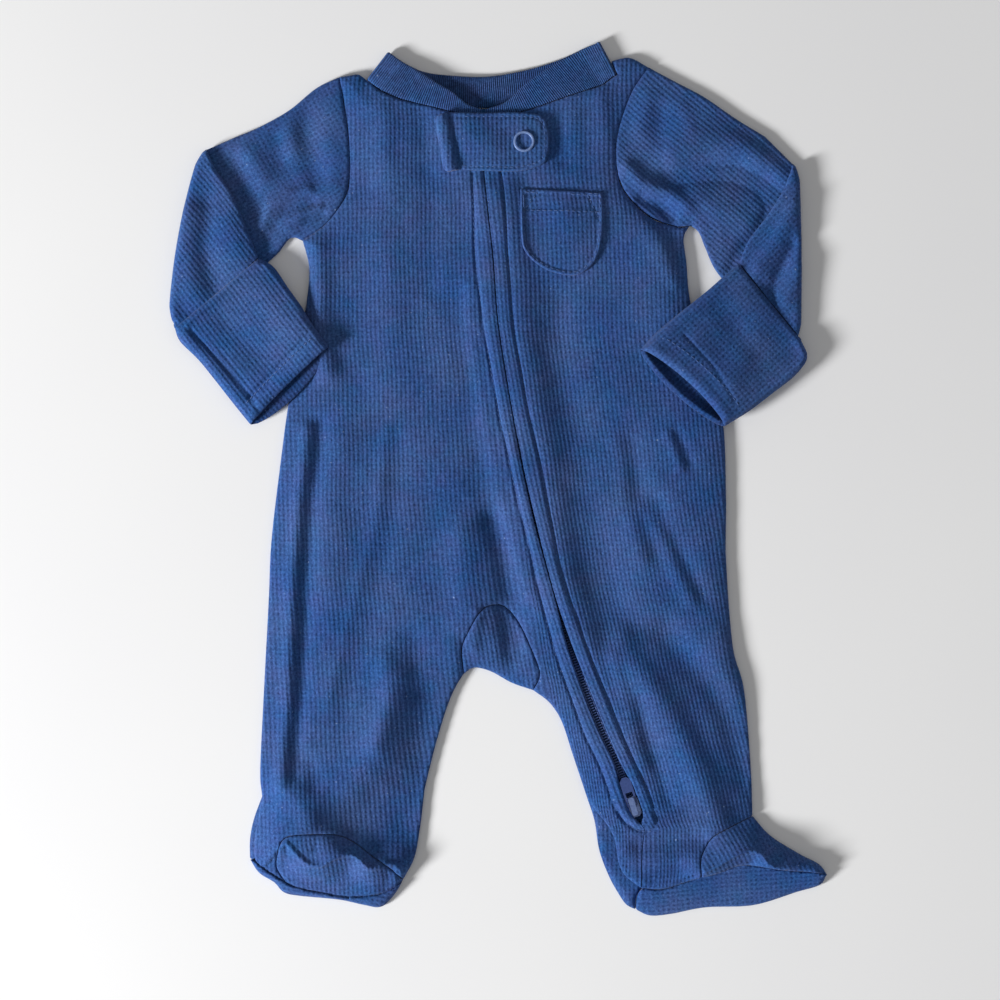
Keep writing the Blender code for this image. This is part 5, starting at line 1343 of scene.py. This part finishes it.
def dressed_cuff(side, rows, creases, lean, roll_up, lip_up):
    """Mitten cuff: an upper and a lower layer that meet at the sides, open at the hand."""
    rows = smooth(rows, CUFF_STEP)
    way = (rows[-1, :2] + rows[-1, 2:4]) - (rows[-6, :2] + rows[-6, 2:4])
    way = way / np.linalg.norm(way)
    mouth = straight_line(rows[-1, :2], rows[-1, 2:4])
    swell = np.sin(math.pi * np.linspace(0, 1, len(mouth))) ** MOUTH_FULL
    front_edge = mouth - way * (rows[-1, 7] * swell)[:, None]
    back_edge = mouth + way * (rows[-1, 8] * swell)[:, None]
    sides = [rows[:, :2], rows[:, 2:4]]
    begin = straight_line(rows[0, :2], rows[0, 2:4])

    def levels(points):
        mixed, share = ruled(points, rows)
        base = mixed[:, 4] + (mixed[:, 5] - mixed[:, 4]) * share
        return base, base + mixed[:, 6], mixed[:, 6] / 2

    def set_in(points):
        return 1 - bell(distance_to_any(points, sides), CUFF_REACH)

    def top(points):
        _, high, radius = levels(points)
        soft = crease_height(points, creases) + CUFF_WANDER * wander(points)
        roll = beads(distance_to(points, front_edge), (roll_up, *ROLL_PLACE))
        return high - rounding(points, sides, radius) + (soft + roll) * set_in(points)

    def middle(points):
        base, _, radius = levels(points)
        return base + radius

    def front_low(points):
        return np.maximum(top(points) - CUFF_WALL, np.minimum(middle(points), top(points)))

    def back_low(points):
        base, _, radius = levels(points)
        return base + rounding(points, sides, radius)

    def back_top(points):
        lip = beads(distance_to(points, back_edge), (lip_up, *LIP_PLACE)) * set_in(points)
        return lip + np.maximum(np.minimum(back_low(points) + BACK_WALL, middle(points)),
                                back_low(points))

    skin = Skin()
    grain = [straight_grain(lean)]
    # The lower layer's face inside the mouth gets painted shade in its colour.
    for end, upper, lower, fall, round_at, painted_shade in (
            (front_edge, top, front_low, *MOUTH_EDGES[0], 0.0),
            (back_edge, back_top, back_low, *MOUTH_EDGES[1], PAINTED_SHADE_INSIDE)):
        loop = np.vstack((begin, rows[1:, 2:4], end[::-1][1:-1], rows[1:, :2][::-1]))
        loop = turned_left(spread(loop, EDGE_STEP))
        first = skin.layer(loop, upper, grain, fall=fall, least=lower, round_at=round_at, painted_shade=painted_shade)
        second = skin.layer(loop, lower, grain, dense=False, down=True, fall=0.0)
        skin.rim(first, second, loop)
    made = skin.build("knit_cuff_" + side, waffle)
    lay(made, "cuff_" + side, "waffle")
    return top, front_edge, way


# ---- Neckband ----------------------------------------------------------------------------------
def strip_profile(width, thick, parts=9, turn=4):
    """Rounded strip: (across, up) points, its lower face first."""
    r = thick / 2
    near, far = SEAM / 2 + r, width - r
    angles = np.linspace(0, math.pi, turn + 2)[1:-1]
    out = [(x, 0.0) for x in np.linspace(near, far, parts)]
    out += [(far + r * math.sin(a), r - r * math.cos(a)) for a in angles]
    out += [(x, thick) for x in np.linspace(far, near, parts)]
    out += [(near - r * math.sin(a), r + r * math.cos(a)) for a in angles]
    return np.array(out)


def band_section(lower, upper, base, up):
    """Ring of the neckband between its two edges, over a base height."""
    width = np.linalg.norm(np.array(upper) - np.array(lower))
    profile = strip_profile(width, BAND_THICK)
    plan = across(straight_line(lower, upper), profile[:, 0] / width)
    z = np.full(len(plan), float(base))
    return np.column_stack((plan, z)) + profile[:, 1:2] * np.array(up)


def band_turn(fold, out_side, angles):
    """Rings of the neckband where it turns over at a shoulder."""
    lower, upper = np.array(fold[:2]), np.array(fold[2:])
    along = (upper - lower) / np.linalg.norm(upper - lower)
    out = out_side * np.array((along[1], -along[0]))
    pivot = BAND_THICK + TUCK / 2
    rings = []
    for angle in angles:
        up = np.array((-math.sin(angle) * out[0], -math.sin(angle) * out[1], math.cos(angle)))
        shift = -up * pivot
        rings.append(band_section(lower + shift[:2], upper + shift[:2], pivot + shift[2], up))
    return rings


def dressed_neckband():
    """Rib band from the zip over the front to a shoulder fold, round the back, and again."""
    step = RIB_PITCH / RIB_PARTS
    angles = np.linspace(0, math.pi, FOLD_PARTS)
    first, last = [[band_section(row[:2], row[2:4], row[4] + BAND_THICK, (0, 0, -1))
                    for row in smooth(rows, step)] for rows in (BAND_FRONT_R, BAND_FRONT_L)]
    back = [band_section(row[:2], row[2:4], 0.0, (0, 0, 1)) for row in smooth(BAND_BACK, step)]
    rings = first + band_turn(BAND_FOLD_R, -1, angles[::-1])
    behind = len(rings)
    rings = np.array(rings + back + band_turn(BAND_FOLD_L, 1, angles) + last)
    run = run_of(rings.mean(axis=1))
    rings = ribbed_rings(rings, run)
    count, n = rings.shape[:2]
    faces = tube_faces(count, n)
    # Painted shade on the back part of the band, carried in the grain's third value.
    painted_shade = np.zeros(count)
    painted_shade[behind:behind + len(back)] = PAINTED_SHADE_BEHIND
    grain = np.stack((np.repeat(run / RIB_PITCH, n), np.tile(np.linspace(0, 8, n), count),
                      np.repeat(painted_shade, n)), 1)
    skin = Skin()
    skin.add(rings.reshape(-1, 3), faces, np.vstack([grain[list(f)] for f in faces]))
    made = skin.build("rib_neckband", ribbed)
    lay(made, "neckband", "rib")


def ribbed_rings(rings, run):
    """The band's rings, swollen on its ribs."""
    along = np.gradient(rings, axis=0)
    round_it = np.roll(rings, -1, axis=1) - np.roll(rings, 1, axis=1)
    normal = np.cross(along, round_it)
    normal /= np.linalg.norm(normal, axis=2)[:, :, None] + TINY
    outward = rings - rings.mean(axis=1, keepdims=True)
    normal *= np.sign(np.sum(normal * outward))
    swell = RIB_RELIEF * (np.cos(2 * math.pi * run / RIB_PITCH) - 0.3)
    swell[:2], swell[-2:] = 0.0, 0.0
    return rings + normal * swell[:, None, None]


# ---- Trim --------------------------------------------------------------------------------------
POCKET_LOOP = outline(POCKET[:2], POCKET[1:] + POCKET[:1])
TAB_LOOP = outline(TAB + TAB[:1])
TAB_EDGE = outline(TAB + TAB[:1], step=3.0)
HEM_Y = POCKET[0][1] - POCKET_HEM


def pocket_low(points):
    return form(points) + POCKET_CLEAR


def pocket_top(points):
    """The pocket's face: its turned hem and corners, the seam round it and its full middle."""
    y = points[:, 1]
    hem = fade(y - HEM_Y, 1.0)
    edge = distance_to(points, POCKET_LOOP, closed=True)
    sewn = beads(edge, *POCKET_BEADS)
    sewn = np.where(y > HEM_Y, HEM_SHARE * sewn, sewn)
    line = -HEM_DIP * bell(y - HEM_Y, DIP_HALF)
    for slant in POCKET_SLANTS:
        line = line - SLANT_DIP * bell(distance_to(points, np.array(slant)), DIP_HALF)
    puff = POCKET_PUFF * np.exp(-distance_to(points, np.array(POCKET_MIDDLE)) ** 2 / POCKET_SPREAD)
    return pocket_low(points) + POCKET_CLOTH - HEM_DIP * hem + sewn + line + puff


def tab_top(points):
    """The tab's face: the roll of its sewn end, the groove beside it and its stitched edge."""
    away = distance_to(points, np.array(TAB_ROLL)) / ROLL_HALF
    edge = distance_to(points, TAB_EDGE, closed=True)
    sewn = -TAB_DIP * bell(edge - TAB_SEWN, DIP_HALF) * (away > TAB_PLAIN)
    groove = beads(away, TAB_GROOVE)
    puff = TAB_PUFF * np.exp(-distance_to(points, np.array(TAB_MIDDLE)) ** 2 / TAB_SPREAD)
    return (TAB_LOW + TAB_CLOTH + TAB_ROLL_UP * np.sqrt(np.clip(1 - away ** 2, 0, 1)) + groove
            + sewn + puff + TAB_UNEVEN * np.sin(points[:, 0] / 5.0 + points[:, 1] / 8.0))


def trim():
    made = panel("knit_pocket", POCKET_LOOP, pocket_top, pocket_low, [straight_grain(3.0)], waffle,
                 fall=0.5)
    lay(made, "chest_pocket", "waffle")
    made = panel("knit_tab", TAB_LOOP, tab_top, flat(TAB_LOW), [straight_grain(0.0)], smooth_knit,
                 fall=1.2, relief=0.35)
    lay(made, "neck_tab", "waffle")


# ---- Stitches ----------------------------------------------------------------------------------
STITCH_SHAPE = (        # share of a stitch's length, thickness, rise; it dives at both ends
    (0.0, 0.25, -0.9), (0.12, 0.8, -0.2), (0.35, 1.0, 0.25), (0.65, 1.0, 0.25),
    (0.88, 0.8, -0.2), (1.0, 0.25, -0.9))
STITCH_SIDES = 6


def capsule(start, end, half, skin):
    """One stitch or tooth between two points."""
    axis = end - start
    length = np.linalg.norm(axis)
    axis = axis / length
    side = np.cross(axis, (0.0, 0.0, 1.0))
    side /= np.linalg.norm(side) + TINY
    up = np.cross(side, axis)
    points = []
    for t, thick, rise in STITCH_SHAPE:
        centre = start + axis * length * t + up * half * rise
        for k in range(STITCH_SIDES):
            a = 2 * math.pi * k / STITCH_SIDES
            points.append(centre + half * thick * (side * math.cos(a) + up * math.sin(a)))
    skin.add(np.array(points), tube_faces(len(STITCH_SHAPE), STITCH_SIDES))


def sew(name, lines):
    """Rows of stitches along plan lines, each with the height of the cloth it lies on."""
    skin = Skin()
    for line, top in lines:
        run = run_of(line)
        starts = np.arange(STITCH_GAP, run[-1] - STITCH_LONG, STITCH_LONG + STITCH_GAP)
        place = [points_at(line, run, at) for at in (starts, starts + STITCH_LONG)]
        high = [top(p) + STITCH_UP for p in place]
        for a, b, za, zb in zip(*place, *high):
            capsule(np.array((*a, za)), np.array((*b, zb)), STITCH_HALF, skin)
    wear(skin.build(name, thread), "tape")


def ring_part(loop, distance, keep):
    """Part of a loop's inset line, kept where asked, as one open line."""
    line = spread(inset(spread(loop, SEAM_STEP), distance), SEAM_STEP)
    good = keep(line)
    start = int(np.argmax(~good))
    line, good = np.roll(line, -start, axis=0), np.roll(good, -start)
    return line[good]


def stitches(cuffs):
    sew("stitch_welts", ((sewn_line(-1), form), (sewn_line(1), form),
                         (smooth(ZIP_FOOT, SEAM_STEP), form)))
    round_pocket = ring_part(POCKET_LOOP, POCKET_SEWN, lambda p: p[:, 1] < HEM_Y + 8.0)
    lines = [round_pocket] + [np.array(seam) for seam in POCKET_SEAMS]
    sew("stitch_pocket", [(line, pocket_top) for line in lines])
    round_tab = ring_part(TAB_LOOP, TAB_SEWN, lambda p: p[:, 0] > TAB_SEWN_FROM)
    sew("stitch_tab", ((round_tab, tab_top),))
    sew("stitch_cuffs", [(edge[1:-1] - way * inward, top)
                         for (top, edge, way), inward in zip(cuffs, CUFF_HEMS)])


# ---- Zip ---------------------------------------------------------------------------------------
def tapes():
    """Both tapes of the zip, which run under the turned edges."""
    y = np.linspace(ZIP_TOP - 1.0, ZIP_END + 3.0, TAPE_PARTS)
    drop = np.array((TAPE_ROUND, 0.0, 0.0, 0.0, 0.0, 0.0, TAPE_ROUND))
    for side, name in ((-1, "right"), (1, "left")):
        lines = [along_zip(offset, y) for offset in side * np.linspace(TAPE_IN, TAPE_OUT, len(drop))]
        upper = np.array([np.column_stack((line, inside(line) - ZIP_SINK)) for line in lines])
        rings = []
        for k in range(len(y)):
            top = upper[:, k].copy()
            top[:, 2] -= drop
            low = top[::-1].copy()
            low[:, 2] -= TAPE_THICK - 2 * drop
            rings.append(np.vstack((top, low)))
        skin = Skin()
        skin.add(np.vstack(rings), tube_faces(len(rings), len(rings[0])))
        made = skin.build("tape_" + name, tape_cloth)
        lay(made, "zip_tape_" + name, "tape")


def coil():
    """Rungs of the closed coil, on the cords that carry them, down to the slider's post."""
    skin = Skin()
    along = SLIDER_LONG - SLIDER_BACK - POST_LONG - 2 * POST_IN
    y = np.arange(ZIP_TOP - 2.0, SLIDER_AT[1] - along * math.cos(SLIDER_TURN), -TOOTH_PITCH)
    centre = along_zip(0.0, y)
    raised = (COIL_UP * fade(y - SLIDER_AT[1] - COIL_RISE[0], COIL_RISE[1])
              * fade(zip_at(y)[3] - COIL_GAP[0], COIL_GAP[1]))
    level = inside(centre) - ZIP_SINK - COIL_THICK / 2 + raised
    ahead = np.gradient(centre, axis=0)
    ahead /= np.linalg.norm(ahead, axis=1)[:, None]
    for at, z, way in zip(centre, level, ahead):
        aside = np.array((-way[1], way[0], 0.0)) * (COIL_HALF - 0.4)
        middle = np.array((*at, z + TOOTH_UP))
        capsule(middle - aside, middle + aside, TOOTH_HALF, skin)
    for side in (-1, 1):
        line = np.column_stack((along_zip(side * CORD_AT, y), level - 0.05))
        for k in range(0, len(line) - 2, 2):
            capsule(line[k], line[k + 2] + (line[k + 2] - line[k]) * CORD_OVERLAP, CORD_HALF,
                    skin)
    wear(skin.build("coil_teeth", coil_finish), "coil", "zip_coil")


def hard_parts():
    """The slider, its pull and the snap keep their solids, with softened edges."""
    for name, finish in (("slider", metal_finish), ("pull_tab", pull_finish),
                         ("snap_ring", snap_finish)):
        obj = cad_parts[name]
        cut = obj.modifiers.new("soft_edges", 'BEVEL')
        cut.width = SOFT_EDGES[name] * MM
        cut.segments = 3
        cut.limit_method = 'ANGLE'
        obj.data.materials.clear()
        obj.data.materials.append(finish)


# ---- Stage -------------------------------------------------------------------------------------
def light(name, at, size, power):
    """A round lamp that aims at the middle of the garment."""
    data = bpy.data.lights.new(name, 'AREA')
    data.shape = 'DISK'
    data.size = size
    data.energy = power
    obj = bpy.data.objects.new(name, data)
    obj.location = at
    obj.rotation_euler = (Vector() - Vector(at)).to_track_quat('-Z', 'Y').to_euler()
    bpy.context.scene.collection.objects.link(obj)


def stage():
    """A floor of white paper, three lights and an even light all round."""
    mesh = bpy.data.meshes.new("floor")
    corners = [(x * FLOOR_HALF, y * FLOOR_HALF, FLOOR_LEVEL)
               for x, y in ((-1, -1), (1, -1), (1, 1), (-1, 1))]
    mesh.from_pydata(corners, [], [(0, 1, 2, 3)])
    floor = bpy.data.objects.new("floor", mesh)
    bpy.context.scene.collection.objects.link(floor)
    g = Graph("floor_paper")
    cloud = g.noise(g.place(), 3.0)
    g.join(g.ramp(cloud, ((0.3, (244, 244, 245)), (0.7, (248, 248, 248)))),
           g.shader.inputs["Base Color"])
    floor.data.materials.append(g.finish(0.85))
    for row in LIGHTS:
        light(*row)
    world = bpy.data.worlds.new("studio")
    world.use_nodes = True
    back_light = world.node_tree.nodes["Background"]
    back_light.inputs["Color"].default_value = (1.0, 1.0, 1.0, 1.0)
    back_light.inputs["Strength"].default_value = STUDIO_LIGHT
    bpy.context.scene.world = world
    bpy.context.scene.view_settings.view_transform = 'Standard'


def camera():
    """Straight above the garment, at the photo's framing."""
    data = bpy.data.cameras.new("camera")
    data.sensor_width = SENSOR_WIDE
    data.lens = SENSOR_WIDE * CAMERA_HIGH / FRAME_WIDE
    obj = bpy.data.objects.new("camera", data)
    obj.location = CAMERA_AT
    bpy.context.scene.collection.objects.link(obj)
    bpy.context.scene.camera = obj


def main():
    body()
    feet()
    dressed_sleeve("right", UPPER_ARM_R, ARMHOLE_R, ELBOW_R, FOREARM_R, -1, ARM_CREASES_R,
                   FORE_CREASES_R, LEANS_R)
    dressed_sleeve("left", UPPER_ARM_L, ARMHOLE_L, ELBOW_L, FOREARM_L, 1, ARM_CREASES_L,
                   FORE_CREASES_L, LEANS_L)
    cuffs = [dressed_cuff("right", CUFF_R, CUFF_CREASES_R, LEANS_R[1], *CUFF_ROLLS[0]),
             dressed_cuff("left", CUFF_L, CUFF_CREASES_L, LEANS_L[1], *CUFF_ROLLS[1])]
    dressed_neckband()
    trim()
    stitches(cuffs)
    tapes()
    coil()
    hard_parts()
    stage()
    camera()


main()
